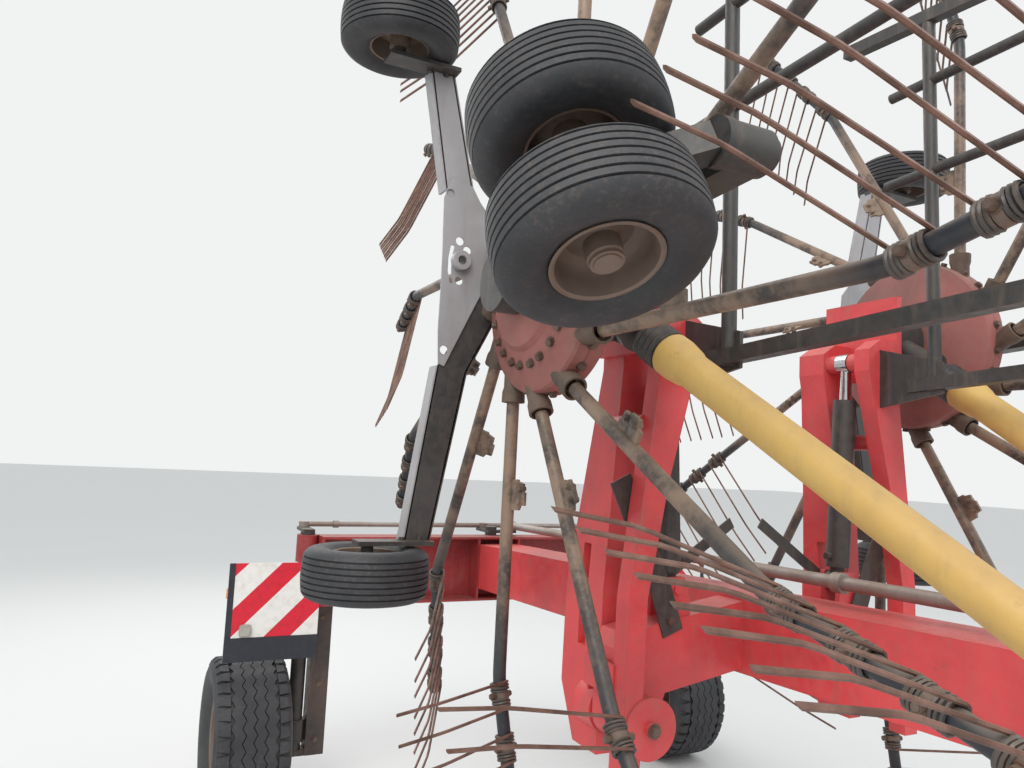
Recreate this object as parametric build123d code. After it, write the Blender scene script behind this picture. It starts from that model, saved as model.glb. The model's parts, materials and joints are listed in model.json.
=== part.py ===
from build123d import *
import math
import os

# Folded twin rotor rake, in millimetres.
# While it is drawn, Y is 0 at the transport axle and grows forward, X is 0 in the
# middle and grows to the right, and Z is 0 on the ground. The finished pieces are
# then moved back so that the origin is under the middle of the whole machine.

# Transport axle
TYRE_R = 385.0
TYRE_W = 360.0
RIM_R = 205.0
HALF_TRACK = 1320.0
COLUMN_X = 1070.0
COLUMN_R = 38.0
COLUMN_TOP = 1398.0
POST_X = (920.0, 1017.0)
POST_DEPTH = 90.0
FOOT_Z = 262.0
FOOT_T = 28.0
AXLE_Y = (-10.0, 130.0)
AXLE_Z = (1030.0, 1385.0)
AXLE_PLATE = 12.0
STUB_R = 30.0

# Main beam
BEAM_HALF_W = 120.0
BEAM_H = 245.0
BEAM_TOP_AT_AXLE = 1339.0
BEAM_SLOPE = 0.036
BEAM_END_Y = 4480.0
BEAM_WALL = 8.0
FRONT_PLATE_T = 20.0
FRONT_PLATE_HALF_W = 150.0
FRONT_PLATE_Z = (500.0, 1515.0)

# Steering linkage
ARM_PIN_Y = -120.0
STEER_ARM_T = 16.0
ROD_R = 14.0
ROD_LIFT = 14.5
CRANK_SIDE = 130.0
PUSH_ROD_R = 21.0
PUSH_EYE_H = 50.0
HEAD_PIN_X = 61.0

# Headstock
HEAD_PIVOT_Y = 4800.0
LUG_UPPER_Z = (1180.0, 1210.0)
LUG_LOWER_Z = (520.0, 550.0)
LUG_HALF_W = 80.0
KING_PIN_R = 30.0
LINK_PIN_R = 14.0
LINK_PIN_HALF_SPACING = 412.0
LINK_PIN_LENGTH = 90.0
LINK_PIN_Y = 5010.0
LINK_PIN_Z = 560.0
MAST_HEIGHT = 610.0
TOP_LINK_R = 12.75
SIDE_PLATE_X = (130.0, 145.0)

# Parking stand
STAND_X = 190.0
STAND_PIVOT_Y = 4300.0
STAND_PIVOT_Z = 1150.0
STAND_TUBE = 70.0
STAND_FOOT_AHEAD = 30.0
STAND_PIN_R = 20.0

# Front gearbox and drive shafts
GEARBOX_Z = 860.0
GEARBOX_HALF_W = 350.0
GEARBOX_DEPTH = 140.0
GEARBOX_H = 180.0
OUTPUT_X = 300.0
OUTPUT_Z = 855.0
INPUT_STUB_R = 17.5
INPUT_STUB_LENGTH = 90.0
SHAFT_GUARD_R = 50.0
SHAFT_BELL_R = 78.0
JOINT_BALL_R = 34.0
CROSS_PIN_R = 12.0
CROSS_PIN_REACH = 52.0
SHAFT_GAP = 50.0

# Fold hinge, yoke and arm
FOLD_X = 535.0
FOLD_Z = 1066.0
FOLD_Y = 2181.0
YOKE_W = 120.0
ARM_GAP = 140.0
FOLD_PIN_R = 32.0
HINGE_BOSS_R = 82.0
CAP_R = 90.0
CAP_T = 6.0
FRONT_LEG_T = 65.0
REAR_LEG_DEPTH = (230.0, 120.0)
YOKE_HEAD_X = 612.0

# Lift cylinder, as X and Z of its two pins
CYL_LOWER = (380.0, 1450.0)
CYL_UPPER = (420.0, 2250.0)
BARREL_R = 41.0
BARREL_LENGTH = 660.0
ROD_CYL_R = 20.0
CYL_EYE_R = 36.0
CYL_PIN_R = 17.0

# Rotor
ROTOR_Y = 2155.0
ROTOR_Z = 2362.0
ROTOR_GEARBOX_X = (550.0, 730.0)
ROTOR_GEARBOX_R = 120.0
INPUT_TILT = 32.5
INPUT_X = 645.0
INPUT_REACH = 335.0
HEAD_X = (738.0, 950.0)
HEAD_R = 330.0
ROTOR_AXLE_R = 45.0
ARM_X = 867.0
ARM_COUNT = 12
ARM_R = 32.0
ARM_WALL = 5.0
ARM_OFFSET = -174.0
ARM_BEND_AT = 1223.0
ARM_BEND = 13.5
ARM_OUTER = 545.0
ARM_PHASE = -0.3
SOCKET_R = 42.0
SOCKET_END = 349.0
LUG_AT = 640.0

# Spring tines. Out is away from the arm's plane, lead is along the turning sense.
SPRING_AT = (43.0, 195.0, 343.0, 489.0)
SPRING_HALF_SPAN = 28.0
SPRING_LENGTH = 84.0
WIRE = 9.5
COIL_R = 43.0
TINE_ROOT = (-14.0, 35.0)
TINE_KNEE = (340.0, 140.0)
TINE_TIP = (510.0, 167.0)

# Rotor carriage
SMALL_TYRE_R = 201.5
SMALL_TYRE_W = 163.0
SMALL_RIM_R = 102.0
WHEEL_X = 1262.0
REAR_WHEEL_Y = 1779.0
UPPER_WHEEL_Z = 3260.0
LOWER_WHEEL_Z = 1450.0
SMALL_AXLE_R = 20.0
SPREADER_Y = 1780.0
SPREADER_DEPTH = 70.0
CARRIAGE_X = (962.0, 1040.0)
CASTOR_Y = 3165.0
CASTOR_Z = 2425.0
CASTOR_TRAIL = 150.7
CASTOR_TURN = 27.7
CASTOR_SPAN = 271.5
CASTOR_PIN_R = 25.0

# Guard frame on each arm
GUARD_X = 450.0
GUARD_TUBE_R = 18.0
GUARD_BAR = 44.0
GUARD_FRONT_Y = 3500.0

# Warning boards
BOARD_X = (1020.0, 1470.0)
BOARD_Y = 155.0
BOARD_Z = (785.0, 900.0, 1260.0)
BOARD_T = 6.0

# Number of flats round the tyres and rims
BIG_SIDES = 40
SMALL_SIDES = 32
RIM_SIDES = 24

# Clearances
PIN_CLEAR = 0.6
SEAT = 0.4

HEAD_NOSE = 45.0
FRONT_REACH = LINK_PIN_Y + HEAD_NOSE
ORIGIN_Y = (FRONT_REACH - TYRE_R) / 2

RIGHT = (1, 0, 0)
AHEAD = (0, 1, 0)
UP = (0, 0, 1)


# Basic shapes

def beam(start, end, width, height, side=RIGHT, wall=0.0):
    """Square-cornered bar from start to end, with its width along side."""
    first, last = Vector(start), Vector(end)
    length = (last - first).length
    frame = Plane(origin=(first + last) / 2, x_dir=side, z_dir=last - first)
    solid = frame * Box(width, height, length)
    if wall:
        solid -= frame * Box(width - 2 * wall, height - 2 * wall, length - 2 * wall)
    return solid


def round_bar(start, end, radius, bore=0.0):
    """Cylinder from start to end, with a through bore if one is given."""
    first, last = Vector(start), Vector(end)
    length = (last - first).length
    frame = Plane(origin=(first + last) / 2, z_dir=last - first)
    solid = frame * Cylinder(radius, length)
    if bore:
        solid -= frame * Cylinder(bore, length + 2)
    return solid


def faceted_bar(start, end, radius, sides, bore=0.0, side=RIGHT):
    """Many-sided bar from start to end, for pieces that repeat often."""
    first, last = Vector(start), Vector(end)
    frame = Plane(origin=first, x_dir=side, z_dir=last - first)
    outline = RegularPolygon(radius, sides)
    if bore:
        outline -= RegularPolygon(bore, sides)
    return extrude(frame * outline, amount=(last - first).length)


def plate_x(points, low, high):
    """Plate with its outline in Y and Z, between two values of X."""
    outline = Polyline(*[(low, y, z) for y, z in points], close=True)
    return extrude(make_face(outline), amount=high - low, dir=RIGHT)


def plate_y(points, low, high):
    """Plate with its outline in X and Z, between two values of Y."""
    outline = Polyline(*[(x, low, z) for x, z in points], close=True)
    return extrude(make_face(outline), amount=high - low, dir=AHEAD)


def plate_z(points, low, high):
    """Plate with its outline in X and Y, between two values of Z."""
    outline = Polyline(*[(x, y, low) for x, y in points], close=True)
    return extrude(make_face(outline), amount=high - low, dir=UP)


def block(x, y, z):
    """Box between pairs of X, Y and Z."""
    size = (x[1] - x[0], y[1] - y[0], z[1] - z[0])
    middle = ((x[0] + x[1]) / 2, (y[0] + y[1]) / 2, (z[0] + z[1]) / 2)
    return Pos(*middle) * Box(*size)


def strip(points, width):
    """Outline of a bent flat bar whose middle line runs through the points."""
    left, right = [], []
    count = len(points)
    for i, (px, py) in enumerate(points):
        ax, ay = points[max(i - 1, 0)]
        bx, by = points[min(i + 1, count - 1)]
        before = Vector(px - ax, py - ay) if i > 0 else Vector(bx - px, by - py)
        after = Vector(bx - px, by - py) if i < count - 1 else before
        before, after = before.normalized(), after.normalized()
        middle = (before + after).normalized()
        reach = width / 2 / max(middle.dot(before), 0.3)
        left.append((px - middle.Y * reach, py + middle.X * reach))
        right.append((px + middle.Y * reach, py - middle.X * reach))
    return left + right[::-1]


def faceted_ring(profile, sides):
    """Many-sided ring about Z from a closed profile of flat-to-middle radius and height."""
    faces = []
    step = 2 * math.pi / sides
    to_corner = 1 / math.cos(step / 2)
    for i, (flat_1, z1) in enumerate(profile):
        flat_2, z2 = profile[(i + 1) % len(profile)]
        r1, r2 = flat_1 * to_corner, flat_2 * to_corner
        for k in range(sides):
            a = step * (k - 0.5)
            b = step * (k + 0.5)
            corners = [
                (r1 * math.cos(a), r1 * math.sin(a), z1),
                (r1 * math.cos(b), r1 * math.sin(b), z1),
                (r2 * math.cos(b), r2 * math.sin(b), z2),
                (r2 * math.cos(a), r2 * math.sin(a), z2),
            ]
            faces.append(Face(Wire.make_polygon(corners, close=True)))
    return Solid(Shell(faces))


def turned(profile):
    """True solid of revolution about Z from a closed profile of radius and height."""
    outline = Polyline(*[(r, 0, z) for r, z in profile], close=True)
    return revolve(make_face(outline), Axis.Z)


def facing(centre, direction, shape):
    """Puts a shape drawn about Z at a centre, with its Z along a direction."""
    return Plane(origin=centre, z_dir=direction) * shape


def joined(shapes):
    """One solid from pieces that touch or overlap."""
    result = shapes[0]
    for shape in shapes[1:]:
        result = result + shape
    return result


def mirrored(shape):
    """The left-hand copy of a right-hand piece."""
    return mirror(shape, about=Plane.YZ)


def both(shape):
    """A right-hand piece and its left-hand copy."""
    return [shape, mirrored(shape)]


def beam_top(y):
    """Height of the main beam's top face."""
    return BEAM_TOP_AT_AXLE + BEAM_SLOPE * y


# Wheels

def big_tyre():
    """Transport tyre about Z."""
    half = TYRE_W / 2
    profile = [
        (RIM_R, -half * 0.72),
        (RIM_R + 70, -half),
        (TYRE_R - 60, -half),
        (TYRE_R - 18, -half * 0.9),
        (TYRE_R, -half * 0.62),
        (TYRE_R, half * 0.62),
        (TYRE_R - 18, half * 0.9),
        (TYRE_R - 60, half),
        (RIM_R + 70, half),
        (RIM_R, half * 0.72),
    ]
    return faceted_ring(profile, BIG_SIDES)


def big_rim():
    """Transport rim with its hub bored for the stub axle, about Z."""
    half = TYRE_W / 2 * 0.72
    outer = (RIM_R - SEAT) * math.cos(math.pi / RIM_SIDES)
    profile = [
        (outer, -half),
        (outer, half),
        (outer - 22, half),
        (outer - 40, 40),
        (75, 22),
        (75, 62),
        (STUB_R + PIN_CLEAR, 62),
        (STUB_R + PIN_CLEAR, -90),
        (62, -90),
        (62, 4),
        (outer - 48, 22),
        (outer - 22, -half),
    ]
    return faceted_ring(profile, RIM_SIDES)


def small_tyre():
    """Carriage tyre about Z."""
    half = SMALL_TYRE_W / 2
    profile = [
        (SMALL_RIM_R, -half * 0.8),
        (SMALL_RIM_R + 30, -half),
        (SMALL_TYRE_R - 34, -half),
        (SMALL_TYRE_R - 4, -half * 0.72),
        (SMALL_TYRE_R, 0),
        (SMALL_TYRE_R - 4, half * 0.72),
        (SMALL_TYRE_R - 34, half),
        (SMALL_RIM_R + 30, half),
        (SMALL_RIM_R, half * 0.8),
    ]
    return faceted_ring(profile, SMALL_SIDES)


def small_rim():
    """Carriage rim with its hub bored for the axle, about Z."""
    half = SMALL_TYRE_W / 2 * 0.8
    outer = (SMALL_RIM_R - SEAT) * math.cos(math.pi / RIM_SIDES)
    profile = [
        (outer, -half),
        (outer, half),
        (outer - 12, half),
        (outer - 26, 8),
        (34, 4),
        (34, half),
        (SMALL_AXLE_R + PIN_CLEAR, half),
        (SMALL_AXLE_R + PIN_CLEAR, -half),
        (34, -half),
        (34, -8),
        (outer - 26, -4),
        (outer - 12, -half),
    ]
    return faceted_ring(profile, RIM_SIDES)


# Transport axle and steering

def rear_axle():
    """Portal axle: a channel open to the front, two posts, feet and column sleeves."""
    low, high = AXLE_Z
    back, front = AXLE_Y
    end = POST_X[1]
    t = AXLE_PLATE
    pieces = [
        block((-end, end), (back, back + t), (low, high)),
        block((-end, end), (back, front), (high - t, high)),
        block((-end, end), (back, front), (low, low + t)),
    ]
    web = block((end - t, end), (back, front), (low, high))
    stay = block((BEAM_HALF_W, BEAM_HALF_W + t), (back, front), (low, high))
    half = POST_DEPTH / 2
    post = block(POST_X, (-half, half), (FOOT_Z, low))
    foot_end = COLUMN_X + 40
    foot = block((POST_X[0], foot_end), (-40, 40), (FOOT_Z, FOOT_Z + FOOT_T))
    sleeve = round_bar((COLUMN_X, 0, high - 140), (COLUMN_X, 0, high), 55)
    for piece in (web, stay, post, foot, sleeve):
        pieces += both(piece)
    solid = joined(pieces)
    bore = round_bar((COLUMN_X, 0, high - 150), (COLUMN_X, 0, high + 10), COLUMN_R + PIN_CLEAR)
    for cut in both(bore):
        solid -= cut
    return solid


def right_knuckle():
    """Steering column, stub axle and the steering arm on top."""
    arm_low = COLUMN_TOP
    column = round_bar((COLUMN_X, 0, FOOT_Z + FOOT_T + SEAT), (COLUMN_X, 0, arm_low), COLUMN_R)
    boss = round_bar((COLUMN_X, 0, TYRE_R - 55), (COLUMN_X, 0, TYRE_R + 55), 52)
    stub = round_bar((COLUMN_X, 0, TYRE_R), (HALF_TRACK + 62, 0, TYRE_R), STUB_R)
    arm = plate_z(strip([(COLUMN_X, 30), (COLUMN_X, ARM_PIN_Y - 25)], 62), arm_low, arm_low + STEER_ARM_T)
    return joined([column, boss, stub, arm])


def track_rod():
    """Cross rod that turns both steering arms, with its two eyes and a middle shoe."""
    low = COLUMN_TOP + STEER_ARM_T + SEAT
    z = low + ROD_LIFT
    rod = round_bar((-COLUMN_X + 20, ARM_PIN_Y, z), (COLUMN_X - 20, ARM_PIN_Y, z), ROD_R)
    eye = round_bar((COLUMN_X, ARM_PIN_Y, low), (COLUMN_X, ARM_PIN_Y, low + 28), 26)
    shoe = round_bar((0, ARM_PIN_Y, low), (0, ARM_PIN_Y, low + 28), 28)
    lock_nut = round_bar((880, ARM_PIN_Y, z), (910, ARM_PIN_Y, z), 20)
    return joined([rod, shoe] + both(eye) + both(lock_nut))


def steering_crank():
    """Bell crank on the axle, between the push rod and the track rod."""
    low = COLUMN_TOP
    high = low + STEER_ARM_T
    rearward = plate_z(strip([(0, 35), (0, ARM_PIN_Y - 25)], 64), low, high)
    sideways = plate_z(strip([(0, 0), (-CRANK_SIDE - 25, 0)], 56), low, high)
    pivot = round_bar((0, 0, AXLE_Z[1] + SEAT), (0, 0, high + 20), 34)
    return joined([rearward, sideways, pivot])


def push_rod_ends():
    """Rear and front end of the long steering rod."""
    rear = (-CRANK_SIDE, 0, COLUMN_TOP + STEER_ARM_T + SEAT + PUSH_EYE_H / 2)
    front = (HEAD_PIN_X, HEAD_PIVOT_Y, beam_top(HEAD_PIVOT_Y) + 46)
    return rear, front


def push_rod():
    """Long rod over the main beam, from the headstock to the bell crank."""
    rear, front = push_rod_ends()
    low = COLUMN_TOP + STEER_ARM_T + SEAT
    way = (Vector(*front) - Vector(*rear)).normalized()
    start = Vector(*rear) + way * 12
    end = Vector(*front) - way * 12
    rod = round_bar(start, end, PUSH_ROD_R)
    eye = round_bar((rear[0], rear[1], low), (rear[0], rear[1], low + PUSH_EYE_H), 28)
    half = PUSH_EYE_H / 2
    front_eye = round_bar((front[0], front[1], front[2] - half), (front[0], front[1], front[2] + half), 28)
    nut_at = Vector(*rear) + way * 2480
    nut = round_bar(nut_at, nut_at + way * 40, 31)
    return joined([rod, eye, front_eye, nut])


# Frame

def main_beam():
    """Box beam that climbs a little to the front, with its front plate and lugs."""
    start = AXLE_Y[0] + AXLE_PLATE
    end = BEAM_END_Y

    def profile(inset):
        return [
            (start + inset, beam_top(start) - inset),
            (end - inset, beam_top(end) - inset),
            (end - inset, beam_top(end) - BEAM_H + inset),
            (start + inset, beam_top(start) - BEAM_H + inset),
        ]

    shell = plate_x(profile(0), -BEAM_HALF_W, BEAM_HALF_W)
    inner = BEAM_HALF_W - BEAM_WALL
    shell -= plate_x(profile(BEAM_WALL), -inner, inner)
    wide = (-FRONT_PLATE_HALF_W, FRONT_PLATE_HALF_W)
    plate_front = end + FRONT_PLATE_T
    front_plate = block(wide, (end, plate_front), FRONT_PLATE_Z)
    pieces = [shell, front_plate]
    lug = [
        (-LUG_HALF_W - 30, plate_front),
        (LUG_HALF_W + 30, plate_front),
        (LUG_HALF_W - 25, HEAD_PIVOT_Y + 55),
        (-LUG_HALF_W + 25, HEAD_PIVOT_Y + 55),
    ]
    for low, high in (LUG_UPPER_Z, LUG_LOWER_Z):
        pieces.append(plate_z(lug, low, high))
    gusset = [(end, beam_top(end) - BEAM_H), (end - 420, beam_top(end - 420) - BEAM_H), (end, 700)]
    for x in (-FRONT_PLATE_HALF_W + 22, FRONT_PLATE_HALF_W - 37):
        pieces.append(plate_x(gusset, x, x + 15))
    bracket = block((BEAM_HALF_W, STAND_X - STAND_TUBE / 2 - 2), (STAND_PIVOT_Y - 55, STAND_PIVOT_Y + 55),
                    (STAND_PIVOT_Z - 60, 1400))
    outer_x = STAND_X + STAND_TUBE / 2 + 2
    bracket_outer = block((outer_x, outer_x + 14), (STAND_PIVOT_Y - 55, STAND_PIVOT_Y + 55),
                          (STAND_PIVOT_Z - 60, 1400))
    bridge = block((BEAM_HALF_W, outer_x + 14), (STAND_PIVOT_Y - 55, STAND_PIVOT_Y + 55), (1340, 1400))
    stand_pin = round_bar((BEAM_HALF_W, STAND_PIVOT_Y, STAND_PIVOT_Z),
                          (outer_x + 14, STAND_PIVOT_Y, STAND_PIVOT_Z), STAND_PIN_R)
    pieces += [bracket, bracket_outer, bridge, stand_pin]
    solid = joined(pieces)
    for low, high in (LUG_UPPER_Z, LUG_LOWER_Z):
        solid -= round_bar((0, HEAD_PIVOT_Y, low - 5), (0, HEAD_PIVOT_Y, high + 5), KING_PIN_R + PIN_CLEAR)
    return solid


def yoke_half():
    """Right arm of the yoke, from the beam's side to the fold hinge."""
    low, high = FOLD_Y - YOKE_W / 2, FOLD_Y + YOKE_W / 2
    outline = [
        (BEAM_HALF_W, 1190),
        (BEAM_HALF_W, 1405),
        (585, 1326),
        (YOKE_HEAD_X, 1280),
        (YOKE_HEAD_X, FOLD_Z),
        (FOLD_X - 78, FOLD_Z),
        (427, 1139),
    ]
    arm = plate_y(outline, low, high)
    inner = [(BEAM_HALF_W + 15, 1205), (BEAM_HALF_W + 15, 1388), (560, 1315), (560, 1160), (420, 1155)]
    arm -= plate_y(inner, low + 10, high - 10)
    boss = round_bar((FOLD_X, low, FOLD_Z), (FOLD_X, high, FOLD_Z), 77)
    pieces = [arm, boss]
    lx, lz = CYL_LOWER
    lug = [(lx - 52, 1340), (lx - 40, lz), (lx - 24, lz + 36), (lx + 24, lz + 36), (lx + 41, lz), (lx + 44, 1340)]
    for side in (-1, 1):
        near = FOLD_Y + side * 32
        far = FOLD_Y + side * 52
        pieces.append(plate_y(lug, min(near, far), max(near, far)))
    pieces.append(round_bar((lx, FOLD_Y - 58, lz), (lx, FOLD_Y + 58, lz), CYL_PIN_R))
    solid = joined(pieces)
    solid -= round_bar((FOLD_X, low - 5, FOLD_Z), (FOLD_X, high + 5, FOLD_Z), FOLD_PIN_R + PIN_CLEAR)
    return solid


def transport_lock():
    """Black link plate on the front of the yoke, and the release lever behind it."""
    front = FOLD_Y + YOKE_W / 2
    back = FOLD_Y - YOKE_W / 2
    link = plate_y(strip([(405, 1318), (450, 1440), (620, 1790)], 78), front, front + 5)
    lever = plate_y(strip([(440, 1300), (455, 1400), (65, 1650)], 38), back - 5, back)
    bolt = round_bar((420, front + 5, 1356), (420, front + 9, 1356), 15)
    return [joined([link, bolt]), lever]


def headstock():
    """Three-point head: two clevises round the lugs, side plates, cross tube and mast."""
    pivot = HEAD_PIVOT_Y
    frame_y = pivot + 75
    pieces = []
    for low, high in (LUG_UPPER_Z, LUG_LOWER_Z):
        for z1, z2 in ((high + 2, high + 20), (low - 20, low - 2)):
            outline = [
                (-48, pivot - 48), (48, pivot - 48), (SIDE_PLATE_X[1], frame_y + 60), (-SIDE_PLATE_X[1], frame_y + 60),
            ]
            pieces.append(plate_z(outline, z1, z2))
        pieces.append(round_bar((0, pivot, low - 30), (0, pivot, high + 30), KING_PIN_R))
    side = [
        (frame_y, LUG_LOWER_Z[0] - 20),
        (frame_y, LUG_UPPER_Z[1] + 20),
        (frame_y + 60, LUG_UPPER_Z[1] + 20),
        (LINK_PIN_Y + HEAD_NOSE, LINK_PIN_Z + 60),
        (LINK_PIN_Y + HEAD_NOSE, LUG_LOWER_Z[0] - 20),
    ]
    for plate in both(plate_x(side, *SIDE_PLATE_X)):
        pieces.append(plate)
    half = LINK_PIN_HALF_SPACING
    pieces.append(beam((-half, LINK_PIN_Y, LINK_PIN_Z), (half, LINK_PIN_Y, LINK_PIN_Z), 80, 80, AHEAD, 8))
    reach = half + LINK_PIN_LENGTH
    pieces.append(round_bar((-reach, LINK_PIN_Y, LINK_PIN_Z), (reach, LINK_PIN_Y, LINK_PIN_Z), LINK_PIN_R))
    mast_z = LINK_PIN_Z + MAST_HEIGHT
    mast_top = LUG_UPPER_Z[1] + 20
    mast = [
        (frame_y + 40, mast_top - 16),
        (frame_y + 40, mast_top + 40),
        (LINK_PIN_Y - 30, mast_z + 60),
        (LINK_PIN_Y + HEAD_NOSE, mast_z + 20),
        (LINK_PIN_Y + HEAD_NOSE, mast_z - 32),
        (LINK_PIN_Y - 40, mast_z - 40),
    ]
    for plate in both(plate_x(mast, 30, 45)):
        pieces.append(plate)
    cross = block((-SIDE_PLATE_X[1], SIDE_PLATE_X[1]), (frame_y, frame_y + 60), (mast_top - 18, mast_top))
    pieces.append(cross)
    steer_z = push_rod_ends()[1][2] - PUSH_EYE_H / 2 - SEAT
    post = block((HEAD_PIN_X - 30, HEAD_PIN_X + 30), (pivot - 5, frame_y + 60), (mast_top - 10, mast_top + 16))
    riser = block((HEAD_PIN_X - 25, HEAD_PIN_X + 25), (pivot - 25, pivot + 30), (mast_top - 10, steer_z))
    pieces += [post, riser]
    solid = joined(pieces)
    solid -= round_bar((-60, LINK_PIN_Y + 10, mast_z), (60, LINK_PIN_Y + 10, mast_z), TOP_LINK_R)
    return solid


def parking_stand():
    """Swing-up leg with its foot."""
    half = STAND_TUBE / 2
    leg = beam((STAND_X, STAND_PIVOT_Y, STAND_PIVOT_Z + 45), (STAND_X, STAND_PIVOT_Y + STAND_FOOT_AHEAD, 10),
               STAND_TUBE, STAND_TUBE, RIGHT, 6)
    sleeve = round_bar((STAND_X - half, STAND_PIVOT_Y, STAND_PIVOT_Z), (STAND_X + half, STAND_PIVOT_Y, STAND_PIVOT_Z), 32)
    foot_y = STAND_PIVOT_Y + STAND_FOOT_AHEAD
    foot = block((STAND_X - 60, STAND_X + 60), (foot_y - 90, foot_y + 90), (0, 12))
    solid = joined([leg, sleeve, foot])
    solid -= round_bar((STAND_X - half - 5, STAND_PIVOT_Y, STAND_PIVOT_Z),
                       (STAND_X + half + 5, STAND_PIVOT_Y, STAND_PIVOT_Z), STAND_PIN_R + PIN_CLEAR)
    return solid


def front_gearbox():
    """Transfer gearbox under the beam's front, with two outputs and the input stub."""
    back = BEAM_END_Y + FRONT_PLATE_T
    front = back + GEARBOX_DEPTH
    half_h = GEARBOX_H / 2
    outline = [
        (-GEARBOX_HALF_W, GEARBOX_Z - half_h * 0.6),
        (-GEARBOX_HALF_W + 60, GEARBOX_Z - half_h),
        (GEARBOX_HALF_W - 60, GEARBOX_Z - half_h),
        (GEARBOX_HALF_W, GEARBOX_Z - half_h * 0.6),
        (GEARBOX_HALF_W, GEARBOX_Z + half_h * 0.6),
        (GEARBOX_HALF_W - 60, GEARBOX_Z + half_h),
        (-GEARBOX_HALF_W + 60, GEARBOX_Z + half_h),
        (-GEARBOX_HALF_W, GEARBOX_Z + half_h * 0.6),
    ]
    pieces = [plate_y(outline, back, front)]
    pieces.append(round_bar((0, front, GEARBOX_Z), (0, front + 12, GEARBOX_Z), 60))
    pieces.append(round_bar((0, front, GEARBOX_Z), (0, front + INPUT_STUB_LENGTH, GEARBOX_Z), INPUT_STUB_R))
    output = round_bar((OUTPUT_X, back - 30, OUTPUT_Z), (OUTPUT_X, back, OUTPUT_Z), 40)
    knuckle = Pos(OUTPUT_X, back - 45, OUTPUT_Z) * Sphere(30)
    pieces += both(output + knuckle)
    return joined(pieces)


def warning_board():
    """Striped board with its dark lower panel and the two flats that carry it."""
    x1, x2 = BOARD_X
    z1, z2, z3 = BOARD_Z
    board = block((x1, x2), (BOARD_Y, BOARD_Y + BOARD_T), (z2, z3))
    panel = block((x1, x2), (BOARD_Y - 4, BOARD_Y + BOARD_T + 3), (z1, z2))
    spine = block((x1, x1 + 40), (BOARD_Y - 4, BOARD_Y), (z1, z3))
    carrier = block((POST_X[0] + 40, x1 + 40), (BOARD_Y - 12, BOARD_Y - 4), (1150, 1200))
    seat = block((POST_X[0] + 40, POST_X[1]), (AXLE_Y[1], BOARD_Y - 4), (1150, 1200))
    return joined([board, panel, spine, carrier, seat])


def board_lamp():
    """White front marker lamp and amber side reflector of one board."""
    z2 = BOARD_Z[1]
    face = BOARD_Y + BOARD_T
    lamp = block((BOARD_X[1] - 75, BOARD_X[1] - 30), (face, face + 28), (z2 + 10, z2 + 55))
    reflector = block((BOARD_X[1], BOARD_X[1] + 6), (BOARD_Y - 12, BOARD_Y + 14), (z2 + 190, z2 + 240))
    return [lamp, reflector]


# Folding arm

def fold_arm():
    """Two legs round the yoke, cross plates, hinge pin with its cap, and the saddle."""
    front_1 = FOLD_Y + ARM_GAP / 2
    front_2 = front_1 + FRONT_LEG_T
    rear_2 = FOLD_Y - ARM_GAP / 2
    front_outline = [
        (568, 930), (632, 930), (623, 1440), (533, 2150), (533, 2330), (440, 2330),
        (380, 2290), (380, 2212), (490, 1792), (557, 1440),
    ]
    front_leg = plate_y(front_outline, front_1, front_2)
    rear_outline = [
        (532, 930), (588, 930), (580, 1440), (533, 2150), (533, 2330), (440, 2330),
        (380, 2290), (380, 2212), (462, 1792), (525, 1440),
    ]
    deep, shallow = REAR_LEG_DEPTH
    rear_side = [
        (rear_2, 930), (rear_2, 2330), (rear_2 - shallow, 2330), (rear_2 - shallow, 2150),
        (rear_2 - deep, 1400), (rear_2 - deep, 1100), (rear_2 - 140, 930),
    ]
    rear_leg = plate_y(rear_outline, rear_2 - deep, rear_2) & plate_x(rear_side, 300, 700)
    slot_y = rear_2 - deep / 2
    for z in (1300, 1507):
        rear_leg -= block((500, 640), (slot_y - 22, slot_y + 22), (z - 60, z + 60))
    pieces = [front_leg, rear_leg]
    pieces.append(round_bar((FOLD_X, front_1, FOLD_Z), (FOLD_X, front_2, FOLD_Z), HINGE_BOSS_R))
    pieces.append(round_bar((FOLD_X, rear_2 - 100, FOLD_Z), (FOLD_X, rear_2, FOLD_Z), HINGE_BOSS_R))
    pieces.append(round_bar((FOLD_X, rear_2 - 110, FOLD_Z), (FOLD_X, front_2, FOLD_Z), FOLD_PIN_R))
    pieces.append(round_bar((FOLD_X, front_2, FOLD_Z), (FOLD_X, front_2 + CAP_T, FOLD_Z), CAP_R))
    pieces.append(round_bar((FOLD_X, front_2 + CAP_T, FOLD_Z), (FOLD_X, front_2 + CAP_T + 14, FOLD_Z), 20))
    pieces.append(block((622, 634), (rear_2 - 10, front_1 + 10), (1150, 1240)))
    pieces.append(block((580, 623), (rear_2 - 10, rear_2), (1130, 1260)))
    pieces.append(round_bar((545, rear_2 - 10, 1960), (545, front_1 + 10, 1960), 30))
    ux, uz = CYL_UPPER
    for side in (-1, 1):
        pieces.append(round_bar((ux, FOLD_Y + side * 28, uz), (ux, FOLD_Y + side * (ARM_GAP / 2 + 8), uz), 34))
    saddle = block((ROTOR_GEARBOX_X[0] - 25, ROTOR_GEARBOX_X[0]), (rear_2 - shallow, front_2), (2190, 2500))
    pieces.append(saddle)
    return joined(pieces)


def input_axis():
    """Middle of the rotor gearbox at the input, and the input's direction."""
    tilt = math.radians(INPUT_TILT)
    middle = Vector(INPUT_X, ROTOR_Y, ROTOR_Z)
    way = Vector(0, math.cos(tilt), -math.sin(tilt))
    return middle, way


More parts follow.
